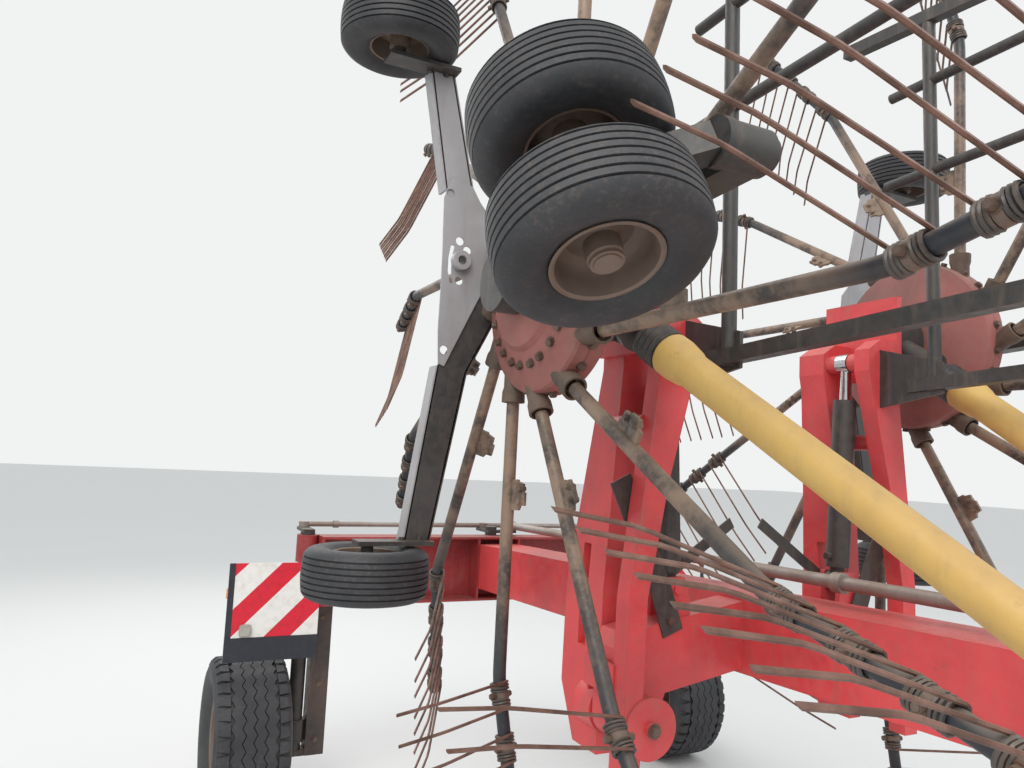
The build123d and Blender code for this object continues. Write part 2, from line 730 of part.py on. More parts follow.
def rotor_gearbox():
    """Bevel gearbox on the saddle, with its input neck."""
    x1, x2 = ROTOR_GEARBOX_X
    middle, way = input_axis()
    body = round_bar((x1, ROTOR_Y, ROTOR_Z), (x2, ROTOR_Y, ROTOR_Z), ROTOR_GEARBOX_R)
    flange = round_bar((x1, ROTOR_Y, ROTOR_Z), (x1 + 16, ROTOR_Y, ROTOR_Z), ROTOR_GEARBOX_R + 18)
    neck = round_bar(middle, middle + way * 250, 58)
    ring = round_bar(middle + way * 215, middle + way * 250, 70)
    stub = round_bar(middle + way * 240, middle + way * INPUT_REACH, 24)
    joint = middle + way * INPUT_REACH
    ball = Pos(*joint) * Sphere(JOINT_BALL_R)
    tilt = shaft_tilt_axis() * CROSS_PIN_REACH
    cross_pin = round_bar(joint - tilt, joint + tilt, CROSS_PIN_R)
    return joined([body, flange, neck, ring, stub, ball, cross_pin])


def shaft_points():
    """Joint centres at the rotor gearbox and at the front gearbox."""
    middle, way = input_axis()
    upper = middle + way * INPUT_REACH
    lower = Vector(OUTPUT_X, BEAM_END_Y + FRONT_PLATE_T - 45, OUTPUT_Z)
    return upper, lower


def shaft_tilt_axis():
    """Axis about which the shaft tilts on its cross pin as the arm folds down a right angle."""
    upper, lower = shaft_points()
    seen_folded = Vector(FOLD_X - (lower.Z - FOLD_Z), lower.Y, FOLD_Z + (lower.X - FOLD_X))
    return (lower - upper).cross(seen_folded - upper).normalized()


def drive_shaft():
    """Guarded shaft from the rotor gearbox to the front gearbox."""
    upper, lower = shaft_points()
    way = (lower - upper).normalized()
    length = (lower - upper).length
    end = upper + way * (length - SHAFT_GAP)
    split = upper + way * (length * 0.55)
    pieces = [
        round_bar(upper - way * 30, upper + way * 120, SHAFT_BELL_R),
        round_bar(upper + way * 120, split, SHAFT_GUARD_R),
        round_bar(split, end - way * 110, SHAFT_GUARD_R - 7),
        round_bar(end - way * 110, end, SHAFT_BELL_R - 8),
    ]
    return joined(pieces) - round_bar(upper - way * 32, upper + way * (JOINT_BALL_R + SEAT), SHAFT_BELL_R - 14)


# Rotor

def arm_frame(index):
    """Outward and leading directions and the root of one tine arm."""
    angle = math.radians(ARM_PHASE + index * 360 / ARM_COUNT)
    outward = Vector(0, math.sin(angle), -math.cos(angle))
    leading = Vector(0, math.cos(angle), math.sin(angle))
    root = Vector(ARM_X, ROTOR_Y, ROTOR_Z) + leading * ARM_OFFSET
    bend = math.radians(ARM_BEND)
    outer_way = outward * math.cos(bend) + leading * math.sin(bend)
    return root, outward, leading, outer_way


def rotor_head():
    """Cam housing with a socket for each arm, bored for the fixed rotor axle."""
    x1, x2 = HEAD_X
    bore = ROTOR_AXLE_R + PIN_CLEAR
    profile = [
        (bore, x1), (150, x1), (190, x1 + 20), (HEAD_R - 25, x1 + 52), (HEAD_R, x1 + 66),
        (HEAD_R, x1 + 150), (HEAD_R - 20, x1 + 160), (205, x2 - 22), (190, x2 - 6), (120, x2), (bore, x2),
    ]
    cavity = [
        (bore + 14, x1 + 14), (160, x1 + 22), (HEAD_R - 30, x1 + 66), (HEAD_R - 12, x1 + 78),
        (HEAD_R - 12, x1 + 140), (HEAD_R - 32, x1 + 148), (196, x2 - 36), (120, x2 - 14), (bore + 14, x2 - 14),
    ]
    body = Plane(origin=(0, ROTOR_Y, ROTOR_Z), x_dir=AHEAD, z_dir=RIGHT) * (turned(profile) - turned(cavity))
    pieces = [body]
    for index in range(ARM_COUNT):
        root, outward, leading, outer_way = arm_frame(index)
        pieces.append(faceted_bar(root + outward * 220, root + outward * (SOCKET_END - 2), SOCKET_R, 12))
        pieces.append(faceted_bar(root + outward * (SOCKET_END - 20), root + outward * SOCKET_END, SOCKET_R + 8, 12))
    solid = joined(pieces)
    return solid


def tine_arms():
    """Twelve bent tubes, each with its pinned lug plate."""
    pieces = []
    for index in range(ARM_COUNT):
        root, outward, leading, outer_way = arm_frame(index)
        start = root + outward * SOCKET_END
        bend = root + outward * ARM_BEND_AT
        end = bend + outer_way * ARM_OUTER
        inner = faceted_bar(start, bend + outward * 6, ARM_R, 12, ARM_R - ARM_WALL)
        outer = faceted_bar(bend, end, ARM_R, 12, ARM_R - ARM_WALL)
        cap = faceted_bar(end - outer_way * 8, end + outer_way * 6, ARM_R, 12)
        base = root + outward * LUG_AT
        frame = Plane(origin=base - Vector(5, 0, 0), x_dir=outward, z_dir=RIGHT)
        lead_sign = 1 if frame.y_dir.dot(leading) > 0 else -1
        foot = ARM_R - ARM_WALL / 2
        outline = [(-45, foot), (-30, 70), (35, 78), (50, foot)]
        lug = extrude(frame * make_face(Polyline(*[(u, lead_sign * v) for u, v in outline], close=True)), amount=10)
        pieces.append(inner + outer + cap + lug)
    return pieces


def spring_tine():
    """One double spring tine: clamp sleeve along Z and two bent wires."""
    half = SPRING_LENGTH / 2
    bore = RegularPolygon(ARM_R + SEAT, 8, major_radius=False)
    sleeve = extrude(RegularPolygon(COIL_R, 8) - bore, amount=half, both=True)
    unit = sleeve
    for side in (-1, 1):
        outline = strip([TINE_ROOT, TINE_KNEE, TINE_TIP], WIRE)
        wire = extrude(make_face(Polyline(*outline, close=True)), amount=WIRE / 2, both=True)
        unit += Pos(0, 0, side * SPRING_HALF_SPAN) * wire
    return unit


def tines():
    """Every double tine of one rotor."""
    unit = spring_tine()
    pieces = []
    for index in range(ARM_COUNT):
        root, outward, leading, outer_way = arm_frame(index)
        bend = root + outward * ARM_BEND_AT
        for place in SPRING_AT:
            frame = Plane(origin=bend + outer_way * place, x_dir=RIGHT, z_dir=-outer_way)
            pieces.append(frame * unit)
    return pieces


# Carriage

def castor_points():
    """Swivel point, middle of the twin wheels, and the wheels' axle direction."""
    turn = math.radians(CASTOR_TURN)
    pivot = Vector(CARRIAGE_X[1], CASTOR_Y, CASTOR_Z)
    trail = Vector(0, -math.cos(turn), -math.sin(turn))
    axle = Vector(0, -math.sin(turn), math.cos(turn))
    middle = Vector(WHEEL_X, CASTOR_Y, CASTOR_Z) + trail * CASTOR_TRAIL
    return pivot, middle, axle


def carriage():
    """Rotor axle, long bar, V-shaped wheel spreader and castor sleeve."""
    x1, x2 = CARRIAGE_X
    pieces = [round_bar((ROTOR_GEARBOX_X[1], ROTOR_Y, ROTOR_Z), (x1 + 10, ROTOR_Y, ROTOR_Z), ROTOR_AXLE_R)]
    hub = round_bar((x1 - 6, ROTOR_Y, ROTOR_Z), (x2, ROTOR_Y, ROTOR_Z), 95)
    pieces.append(hub)
    middle_x = (x1 + x2) / 2
    width = x2 - x1
    pieces.append(beam((middle_x, SPREADER_Y - 2, ROTOR_Z), (middle_x, ROTOR_Y, ROTOR_Z), width, 100, RIGHT, 8))
    pieces.append(beam((middle_x, ROTOR_Y, ROTOR_Z), (middle_x, CASTOR_Y, CASTOR_Z), width, 90, RIGHT, 7))
    top = UPPER_WHEEL_Z - SMALL_TYRE_W / 2 - 14
    low = LOWER_WHEEL_Z + SMALL_TYRE_W / 2 + 14
    spreader = [
        (1055, low), (1140, low), (1080, 2118), (1083, 2390), (1078, 2798), (1140, top), (1060, top),
        (985, 2800), (948, 2480), (948, 2330), (985, 2125),
    ]
    front = SPREADER_Y
    plate = plate_y(spreader, front - 10, front)
    pieces.append(plate)
    for edge in (spreader[1:6], [spreader[0]] + spreader[:6:-1] + [spreader[6]]):
        ordered = edge
        for (xa, za), (xb, zb) in zip(ordered, ordered[1:]):
            rib = beam((xa, front - SPREADER_DEPTH / 2, za), (xb, front - SPREADER_DEPTH / 2, zb), SPREADER_DEPTH, 10,
                       AHEAD)
            pieces.append(rib)
    for z, side in ((UPPER_WHEEL_Z, -1), (LOWER_WHEEL_Z, 1)):
        face = z + side * (SMALL_TYRE_W / 2 + 8)
        far = face + side * 14
        flange = block((1050, WHEEL_X + 40), (REAR_WHEEL_Y - 42, REAR_WHEEL_Y + 42), (min(face, far), max(face, far)))
        stub = round_bar((WHEEL_X, REAR_WHEEL_Y, far), (WHEEL_X, REAR_WHEEL_Y, z - side * 70), SMALL_AXLE_R)
        pieces += [flange, stub]
    pivot, middle, axle = castor_points()
    pieces.append(round_bar((x1 - 8, CASTOR_Y, CASTOR_Z), (x2 + 6, CASTOR_Y, CASTOR_Z), 46))
    solid = joined(pieces)
    solid -= round_bar((x1 - 20, CASTOR_Y, CASTOR_Z), (x2 + 20, CASTOR_Y, CASTOR_Z), CASTOR_PIN_R + PIN_CLEAR)
    return solid


def castor():
    """Swivelling arm between the twin wheels, with its pin and axle."""
    pivot, middle, axle = castor_points()
    x1, x2 = CARRIAGE_X
    seat = x2 + 6 + SEAT
    pieces = [
        round_bar((x1 - 24, CASTOR_Y, CASTOR_Z), (seat + 10, CASTOR_Y, CASTOR_Z), CASTOR_PIN_R),
        round_bar((seat, CASTOR_Y, CASTOR_Z), (seat + 24, CASTOR_Y, CASTOR_Z), 48),
        round_bar((x1 - 24, CASTOR_Y, CASTOR_Z), (x1 - 8 - SEAT, CASTOR_Y, CASTOR_Z), 36),
        beam((seat + 18, CASTOR_Y, CASTOR_Z), middle, 70, 42, axle),
        round_bar(middle - axle * 46, middle + axle * 46, 34),
    ]
    reach = CASTOR_SPAN / 2 + 66
    pieces.append(round_bar(middle - axle * reach, middle + axle * reach, SMALL_AXLE_R))
    return joined(pieces)


def guard_frame():
    """Hoop frame ahead of the rotor, on a bracket in front of the arm."""
    x = GUARD_X
    leg_front = FOLD_Y + ARM_GAP / 2 + FRONT_LEG_T
    far = GUARD_FRONT_Y
    bracket = plate_x([(leg_front, 2080), (leg_front, 2290), (2560, 2225), (2560, 2120)], x - 16, x - 4)
    post = round_bar((x, 2520, 2130), (x, 2500, 3470), 22)
    top = beam((x, 2150, 3490), (x, far, 3410), GUARD_BAR, GUARD_BAR)
    low = beam((x, 2430, 2150), (x, 3960, 2230), GUARD_BAR, GUARD_BAR)
    tube_1 = round_bar((x, 2330, 2895), (x, far, 2950), GUARD_TUBE_R)
    tube_2 = round_bar((x, 2350, 3225), (x, far, 3260), GUARD_TUBE_R)
    front_post = round_bar((x, far, 2205), (x, far, 3410), GUARD_TUBE_R + 2)
    return joined([bracket, post, top, low, tube_1, tube_2, front_post])


# Lift cylinder

def cylinder_line():
    """Lower pin, upper pin and direction of the cylinder at rest."""
    lower = Vector(CYL_LOWER[0], FOLD_Y, CYL_LOWER[1])
    upper = Vector(CYL_UPPER[0], FOLD_Y, CYL_UPPER[1])
    way = (upper - lower).normalized()
    return lower, upper, way


def cylinder_barrel():
    """Barrel with its lower eye, bored for the rod."""
    lower, upper, way = cylinder_line()
    eye = round_bar(lower - Vector(0, 30, 0), lower + Vector(0, 30, 0), CYL_EYE_R)
    neck = round_bar(lower + way * 10, lower + way * 52, 26)
    tube = round_bar(lower + way * 50, lower + way * BARREL_LENGTH, BARREL_R)
    port = round_bar(lower + way * 90 - Vector(40, 0, 0), lower + way * 90 - Vector(62, 0, 0), 12)
    solid = joined([eye, neck, tube, port])
    solid -= round_bar(lower - Vector(0, 35, 0), lower + Vector(0, 35, 0), CYL_PIN_R + PIN_CLEAR)
    solid -= round_bar(lower + way * 62, lower + way * (BARREL_LENGTH + 2), ROD_CYL_R + PIN_CLEAR)
    return solid


def cylinder_rod():
    """Piston rod with its upper eye and pin."""
    lower, upper, way = cylinder_line()
    rod = round_bar(lower + way * 75, upper, ROD_CYL_R)
    eye = round_bar(upper - Vector(0, 25, 0), upper + Vector(0, 25, 0), CYL_EYE_R)
    return joined([rod, eye])


# Nodes

def wheel(tyre_or_rim, centre, direction):
    """A tyre or rim drawn about Z, put on its axle."""
    return facing(centre, direction, tyre_or_rim)


def right_side_nodes():
    """Every node that has a mirrored twin on the left."""
    pivot, middle, axle = castor_points()
    big_centre = (HALF_TRACK, 0, TYRE_R)
    upper_centre = (WHEEL_X, REAR_WHEEL_Y, UPPER_WHEEL_Z)
    lower_centre = (WHEEL_X, REAR_WHEEL_Y, LOWER_WHEEL_Z)
    twins = [middle + axle * (CASTOR_SPAN / 2), middle - axle * (CASTOR_SPAN / 2)]
    return {
        "knuckle": [right_knuckle()],
        "tyre": [wheel(big_tyre(), big_centre, RIGHT)],
        "rim": [wheel(big_rim(), big_centre, RIGHT)],
        "fold_arm": [fold_arm()],
        "rotor_gearbox": [rotor_gearbox()],
        "rotor_head": [rotor_head()],
        "tine_arms": tine_arms(),
        "tines": tines(),
        "carriage": [carriage()],
        "upper_tyre": [wheel(small_tyre(), upper_centre, UP)],
        "upper_rim": [wheel(small_rim(), upper_centre, UP)],
        "lower_tyre": [wheel(small_tyre(), lower_centre, UP)],
        "lower_rim": [wheel(small_rim(), lower_centre, UP)],
        "castor": [castor()],
        "front_tyres": [wheel(small_tyre(), centre, axle) for centre in twins],
        "front_rims": [wheel(small_rim(), centre, axle) for centre in twins],
        "guard_frame": [guard_frame()],
        "cylinder_barrel": [cylinder_barrel()],
        "cylinder_rod": [cylinder_rod()],
        "drive_shaft": [drive_shaft()],
    }


def middle_nodes():
    """Every node of the middle of the machine."""
    lamps = board_lamp()
    locks = transport_lock()
    return {
        "main_beam": [main_beam()],
        "cross_yoke": both(yoke_half()),
        "rear_axle": [rear_axle()],
        "front_gearbox": [front_gearbox()],
        "warning_boards": both(warning_board()),
        "board_lamps": lamps + [mirrored(lamp) for lamp in lamps],
        "transport_locks": locks + [mirrored(lock) for lock in locks],
        "track_rod": [track_rod()],
        "steering_crank": [steering_crank()],
        "push_rod": [push_rod()],
        "headstock": [headstock()],
        "parking_stand": [parking_stand()],
    }


def write(name, shapes):
    """Moves a node's shapes to the final origin and writes them to one file."""
    solids = []
    for shape in shapes:
        solids += shape.solids()
    whole = Compound(children=[solid.moved(Location((0, -ORIGIN_Y, 0))) for solid in solids])
    export_step(whole, "parts/" + name + ".step")


def main():
    """Builds and writes every node."""
    os.makedirs("parts", exist_ok=True)
    for name, shapes in middle_nodes().items():
        write(name, shapes)
    for name, shapes in right_side_nodes().items():
        write("right_" + name, shapes)
        write("left_" + name, [mirrored(shape) for shape in shapes])


main()
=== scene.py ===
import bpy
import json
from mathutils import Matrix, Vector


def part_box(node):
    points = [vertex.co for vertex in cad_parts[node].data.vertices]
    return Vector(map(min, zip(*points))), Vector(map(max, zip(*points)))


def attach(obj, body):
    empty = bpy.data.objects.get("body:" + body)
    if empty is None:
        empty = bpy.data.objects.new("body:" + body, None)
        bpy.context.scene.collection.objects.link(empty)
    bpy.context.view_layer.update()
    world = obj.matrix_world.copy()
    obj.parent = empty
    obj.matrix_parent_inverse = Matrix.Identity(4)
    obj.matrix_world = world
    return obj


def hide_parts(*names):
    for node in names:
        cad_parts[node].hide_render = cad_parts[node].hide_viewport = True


bl_info = {
    "name": "Folded Twin Rotor Rake",
    "version": (1, 0, 0),
    "blender": (4, 5, 0),
    "location": "View3D > Sidebar > Rake",
    "description": "Dresses the rake with tyres, tines, fasteners and weathered finishes",
    "category": "Object",
}

import json
import math
import random

import bpy
from bpy.props import FloatProperty, FloatVectorProperty, IntProperty, PointerProperty
from mathutils import Matrix, Vector

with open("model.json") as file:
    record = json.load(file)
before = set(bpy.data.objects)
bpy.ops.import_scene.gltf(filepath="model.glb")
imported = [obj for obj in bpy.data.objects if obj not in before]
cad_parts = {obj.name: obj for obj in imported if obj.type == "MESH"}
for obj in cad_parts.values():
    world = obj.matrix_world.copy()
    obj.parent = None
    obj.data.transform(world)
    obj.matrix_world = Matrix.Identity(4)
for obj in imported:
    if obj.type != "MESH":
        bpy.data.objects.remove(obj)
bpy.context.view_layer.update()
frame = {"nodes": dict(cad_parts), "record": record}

# The sides of the machine: name, and the sign of X.
SIDES = (("right", 1), ("left", -1))

# Places in metres, from the construction. Y is 0 in the middle of the machine.
AXLE_Y = -2.335
WHEEL_CENTRE = Vector((1.320, AXLE_Y, 0.385))
ROTOR_CENTRE = Vector((0.867, -0.180, 2.362))
REAR_WHEEL = Vector((1.262, -0.556, 0.0))
REAR_WHEEL_Z = {"upper": 3.260, "lower": 1.450}
CASTOR_PIVOT = Vector((1.040, 0.830, 2.425))
CASTOR_TURN = math.radians(27.7)
CASTOR_TRAIL = 0.1507
CASTOR_SPAN = 0.2715
FOLD_PIN = Vector((0.535, -0.154, 1.066))
ARM_FRONT_Y = -0.019
GEARBOX_FACE = 0.566
HEAD_RADIUS = 0.330
HEAD_FACE = 0.738

# Tine arms and tines
ARM_COUNT = 12
ARM_PHASE = math.radians(-0.3)
ARM_OFFSET = -0.174
ARM_START = 0.349
ARM_BEND_AT = 1.223
ARM_BEND = math.radians(13.5)
ARM_OUTER = 0.545
ARM_RADIUS = 0.0205
# Turn of each arm about its own axis, in degrees, as the cam sets it
ARM_ROLLS = (17, 0, 0, 0, 0, 0, 20, 45, 55, 60, 60, 47)
LUG_AT = 0.640
SPRING_AT = (0.043, 0.195, 0.343, 0.489)
TINE_KNEE = (0.340, 0.140)
TINE_TIP = (0.510, 0.167)


class Looks(bpy.types.PropertyGroup):
    """Sizes and colours of the finish."""

    paint: FloatVectorProperty(
        name="Paint", description="Bright side of the main frame's paint", subtype="COLOR", size=3,
        default=(0.72, 0.062, 0.070))
    faded_paint: FloatVectorProperty(
        name="Faded paint", description="Dusty paint of the rotor heads", subtype="COLOR", size=3,
        default=(0.33, 0.105, 0.095))
    guard_paint: FloatVectorProperty(
        name="Shaft guard", description="Faded plastic of the shaft guards", subtype="COLOR",
        size=3, default=(0.66, 0.43, 0.125))
    dust: FloatVectorProperty(
        name="Dust", description="Dry dust on upward faces", subtype="COLOR", size=3,
        default=(0.36, 0.27, 0.20))
    rust: FloatVectorProperty(
        name="Rust", description="Rust on edges and bare spots", subtype="COLOR", size=3,
        default=(0.16, 0.065, 0.03))
    dust_amount: FloatProperty(
        name="Dust amount", description="How much of each finish's own dust lies on it",
        subtype="FACTOR", default=1.0, min=0.0, max=1.0)
    wire_radius: FloatProperty(
        name="Wire radius", description="Radius of the tine wire", default=0.0046, unit="LENGTH")
    coil_radius: FloatProperty(
        name="Coil radius", description="Middle radius of the spring coils", default=0.0262,
        unit="LENGTH")
    coil_turns: IntProperty(
        name="Coil turns", description="Turns in each spring coil", default=3, min=1, max=6)
    groove_depth: FloatProperty(
        name="Groove depth", description="Depth of the grooves in the carriage tyres",
        default=0.006, unit="LENGTH")
    tread_height: FloatProperty(
        name="Tread height", description="Height of the blocks on the transport tyres",
        default=0.014, unit="LENGTH")
    lens: FloatProperty(
        name="Lens", description="Focal length of the camera", default=27.49, unit="CAMERA")


# Mesh helpers

class Shape:
    """Collects points and faces, and becomes one object."""

    # Washer and crown of a bolt: shares of its head's radius, and heights
    WASHER = 1.35
    WASHER_THICKNESS = 0.0025
    CROWN = 0.8
    CROWN_HEIGHT = 0.0012

    def __init__(self):
        self.points = []
        self.faces = []

    def add(self, points, faces):
        """Adds a set of points and the faces between them."""
        first = len(self.points)
        self.points += [tuple(point) for point in points]
        self.faces += [tuple(first + corner for corner in face) for face in faces]

    def tube(self, path, radius, sides):
        """A round bar along a path of points, each ring's frame carried on to the next."""
        path = [Vector(point) for point in path]
        count = len(path)
        points, faces = [], []
        side = None
        for i, centre in enumerate(path):
            way = (path[min(i + 1, count - 1)] - path[max(i - 1, 0)]).normalized()
            if side is None:
                side = way.orthogonal().normalized()
            side = (side - way * side.dot(way)).normalized()
            other = way.cross(side)
            points += [centre + (side * x + other * y) * radius for x, y in circle(1.0, sides)]
        for i in range(count - 1):
            for k in range(sides):
                a, b = i * sides + k, i * sides + (k + 1) % sides
                faces.append((a, b, b + sides, a + sides))
        faces.append(tuple(range(sides - 1, -1, -1)))
        faces.append(tuple((count - 1) * sides + k for k in range(sides)))
        self.add(points, faces)

    def lathe(self, profile, place, segments):
        """A ring turned about the Z axis of a placing matrix, from a closed profile."""
        size = len(profile)
        points, faces = [], []
        for x, y in circle(1.0, segments):
            for radius, height in profile:
                points.append(place @ Vector((radius * x, radius * y, height)))
        for s in range(segments):
            after = (s + 1) % segments
            for k in range(size):
                nxt = (k + 1) % size
                faces.append((s * size + k, after * size + k, after * size + nxt, s * size + nxt))
        self.add(points, faces)

    def prism(self, outline, place, low, high):
        """A plate with its outline in the X and Y of a placing matrix."""
        size = len(outline)
        points = [place @ Vector((x, y, low)) for x, y in outline]
        points += [place @ Vector((x, y, high)) for x, y in outline]
        faces = [tuple(range(size - 1, -1, -1)), tuple(range(size, 2 * size))]
        for k in range(size):
            nxt = (k + 1) % size
            faces.append((k, nxt, nxt + size, k + size))
        self.add(points, faces)

    def bar(self, start, end, along, width, depth):
        """A flat-sided bar between two points, its width near a given direction."""
        corners = ((-1, -1), (1, -1), (1, 1), (-1, 1))
        outline = [(width / 2 * x, depth / 2 * y) for x, y in corners]
        way = Vector(end) - Vector(start)
        self.prism(outline, placed(start, way, along), 0.0, way.length)

    def holed_plate(self, outline, holes, place, thickness):
        """A flat plate with holes, filled by a curve and centred on a placing matrix."""
        curve = bpy.data.curves.new("holed_plate", "CURVE")
        curve.dimensions = "2D"
        curve.fill_mode = "BOTH"
        curve.extrude = thickness / 2
        for loop in (outline, *holes):
            spline = curve.splines.new("POLY")
            spline.points.add(len(loop) - 1)
            for point, (x, y) in zip(spline.points, loop):
                point.co = (x, y, 0.0, 1.0)
            spline.use_cyclic_u = True
        holder = bpy.data.objects.new("holed_plate", curve)
        mesh = bpy.data.meshes.new_from_object(holder)
        self.add([place @ vertex.co for vertex in mesh.vertices],
                 [tuple(face.vertices) for face in mesh.polygons])
        bpy.data.objects.remove(holder)
        bpy.data.curves.remove(curve)
        bpy.data.meshes.remove(mesh)

    def bolt(self, place, radius, height):
        """A hexagon head on its washer, standing along the Z of a placing matrix."""
        self.prism(circle(radius * self.WASHER, 14), place, 0.0, self.WASHER_THICKNESS)
        self.prism(circle(radius, 6), place, self.WASHER_THICKNESS, height)
        self.prism(circle(radius * self.CROWN, 6), place, height, height + self.CROWN_HEIGHT)

    def object(self, name, material, body, smooth=0.6, slot=None, instead_of=()):
        """Makes the object, shades it smooth under an angle and lets it ride on a body."""
        mesh = bpy.data.meshes.new(name)
        mesh.from_pydata(self.points, [], self.faces)
        mesh.update()
        mesh.materials.append(material)
        piece = bpy.data.objects.new(name, mesh)
        bpy.context.collection.objects.link(piece)
        mesh.shade_smooth()
        if smooth:
            mesh.set_sharp_from_angle(angle=smooth)
        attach(piece, body)
        if instead_of:
            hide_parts(*instead_of)
        return piece


def turns(count, start=0.0):
    """Evenly spaced angles round a circle."""
    return [start + 2 * math.pi * k / count for k in range(count)]


def circle(radius, count, middle=(0.0, 0.0)):
    """Points evenly spaced on a circle, in a plane."""
    x, y = middle
    return [(x + radius * math.cos(a), y + radius * math.sin(a)) for a in turns(count)]


def placed(origin, normal, along=None):
    """Matrix whose Z is the normal at an origin, with X near a given direction."""
    z = Vector(normal).normalized()
    x = Vector(along) if along is not None else z.orthogonal()
    x = (x - z * x.dot(z)).normalized()
    y = z.cross(x)
    matrix = Matrix((x, y, z)).transposed().to_4x4()
    matrix.translation = Vector(origin)
    return matrix


def flipped(vector, sign):
    """A vector on the machine's right, or its mirror image on the left."""
    return Vector((vector[0] * sign, vector[1], vector[2]))


# Material helpers

def shaded(colour, share):
    """A darker version of a colour."""
    return tuple(channel * share for channel in colour)


class Nodes:
    """Short ways to add and link shader nodes in one material."""

    def __init__(self, name):
        self.material = bpy.data.materials.new(name)
        self.material.use_nodes = True
        self.tree = self.material.node_tree
        self.shader = self.tree.nodes["Principled BSDF"]
        coordinates = self.new("ShaderNodeTexCoord")
        self.place = coordinates.outputs["Object"]
        self.normal = coordinates.outputs["Normal"]

    def new(self, kind, **values):
        """Adds a node and sets its properties."""
        node = self.tree.nodes.new(kind)
        for key, value in values.items():
            setattr(node, key, value)
        return node

    def link(self, source, target):
        """Links a value or an output to an input."""
        if isinstance(source, (int, float)):
            target.default_value = source
        elif isinstance(source, (tuple, list)):
            target.default_value = tuple(source) + (1.0,) if len(source) == 3 else tuple(source)
        else:
            self.tree.links.new(source, target)

    def noise(self, scale, detail=4.0, rough=0.55, stretch=None):
        """Noise value over the object's own coordinates."""
        node = self.new("ShaderNodeTexNoise")
        node.inputs["Scale"].default_value = scale
        node.inputs["Detail"].default_value = detail
        node.inputs["Roughness"].default_value = rough
        place = self.place
        if stretch:
            mapping = self.new("ShaderNodeMapping")
            mapping.inputs["Scale"].default_value = stretch
            self.link(place, mapping.inputs["Vector"])
            place = mapping.outputs["Vector"]
        self.link(place, node.inputs["Vector"])
        return node.outputs["Fac"]

    def spread(self, value, low, high, out_low=0.0, out_high=1.0):
        """Maps a stretch of a value to another, clamped and smooth."""
        node = self.new("ShaderNodeMapRange", interpolation_type="SMOOTHSTEP")
        self.link(value, node.inputs["Value"])
        limits = {"From Min": low, "From Max": high, "To Min": out_low, "To Max": out_high}
        for key, number in limits.items():
            node.inputs[key].default_value = number
        return node.outputs["Result"]

    def maths(self, operation, first, second=0.0):
        """One sum on two values."""
        node = self.new("ShaderNodeMath", operation=operation)
        self.link(first, node.inputs[0])
        self.link(second, node.inputs[1])
        return node.outputs["Value"]

    def mix(self, factor, first, second):
        """Mixes two colours by a factor."""
        node = self.new("ShaderNodeMix", data_type="RGBA")
        self.link(factor, node.inputs["Factor"])
        self.link(first, node.inputs["A"])
        self.link(second, node.inputs["B"])
        return node.outputs["Result"]

    def upward(self):
        """How far a face looks up, by the object's own normal."""
        node = self.new("ShaderNodeSeparateXYZ")
        self.link(self.normal, node.inputs["Vector"])
        return node.outputs["Z"]

    def axes(self):
        """The three coordinates, apart."""
        node = self.new("ShaderNodeSeparateXYZ")
        self.link(self.place, node.inputs["Vector"])
        return node.outputs["X"], node.outputs["Y"], node.outputs["Z"]

    def edges(self, reach):
        """High on convex and concave edges, from a bevelled normal."""
        bevel = self.new("ShaderNodeBevel", samples=4)
        bevel.inputs["Radius"].default_value = reach
        plain = self.new("ShaderNodeNewGeometry")
        dot = self.new("ShaderNodeVectorMath", operation="DOT_PRODUCT")
        self.link(bevel.outputs["Normal"], dot.inputs[0])
        self.link(plain.outputs["Normal"], dot.inputs[1])
        return self.spread(dot.outputs["Value"], 0.995, 0.86)

    def finish(self, colour, roughness, height=None, strength=0.2, distance=0.002):
        """Feeds the shader, with a bump from a height if one is given."""
        self.link(colour, self.shader.inputs["Base Color"])
        self.link(roughness, self.shader.inputs["Roughness"])
        if height is not None:
            bump = self.new("ShaderNodeBump")
            bump.inputs["Strength"].default_value = strength
            bump.inputs["Distance"].default_value = distance
            self.link(height, bump.inputs["Height"])
            self.link(bump.outputs["Normal"], self.shader.inputs["Normal"])
        return self.material


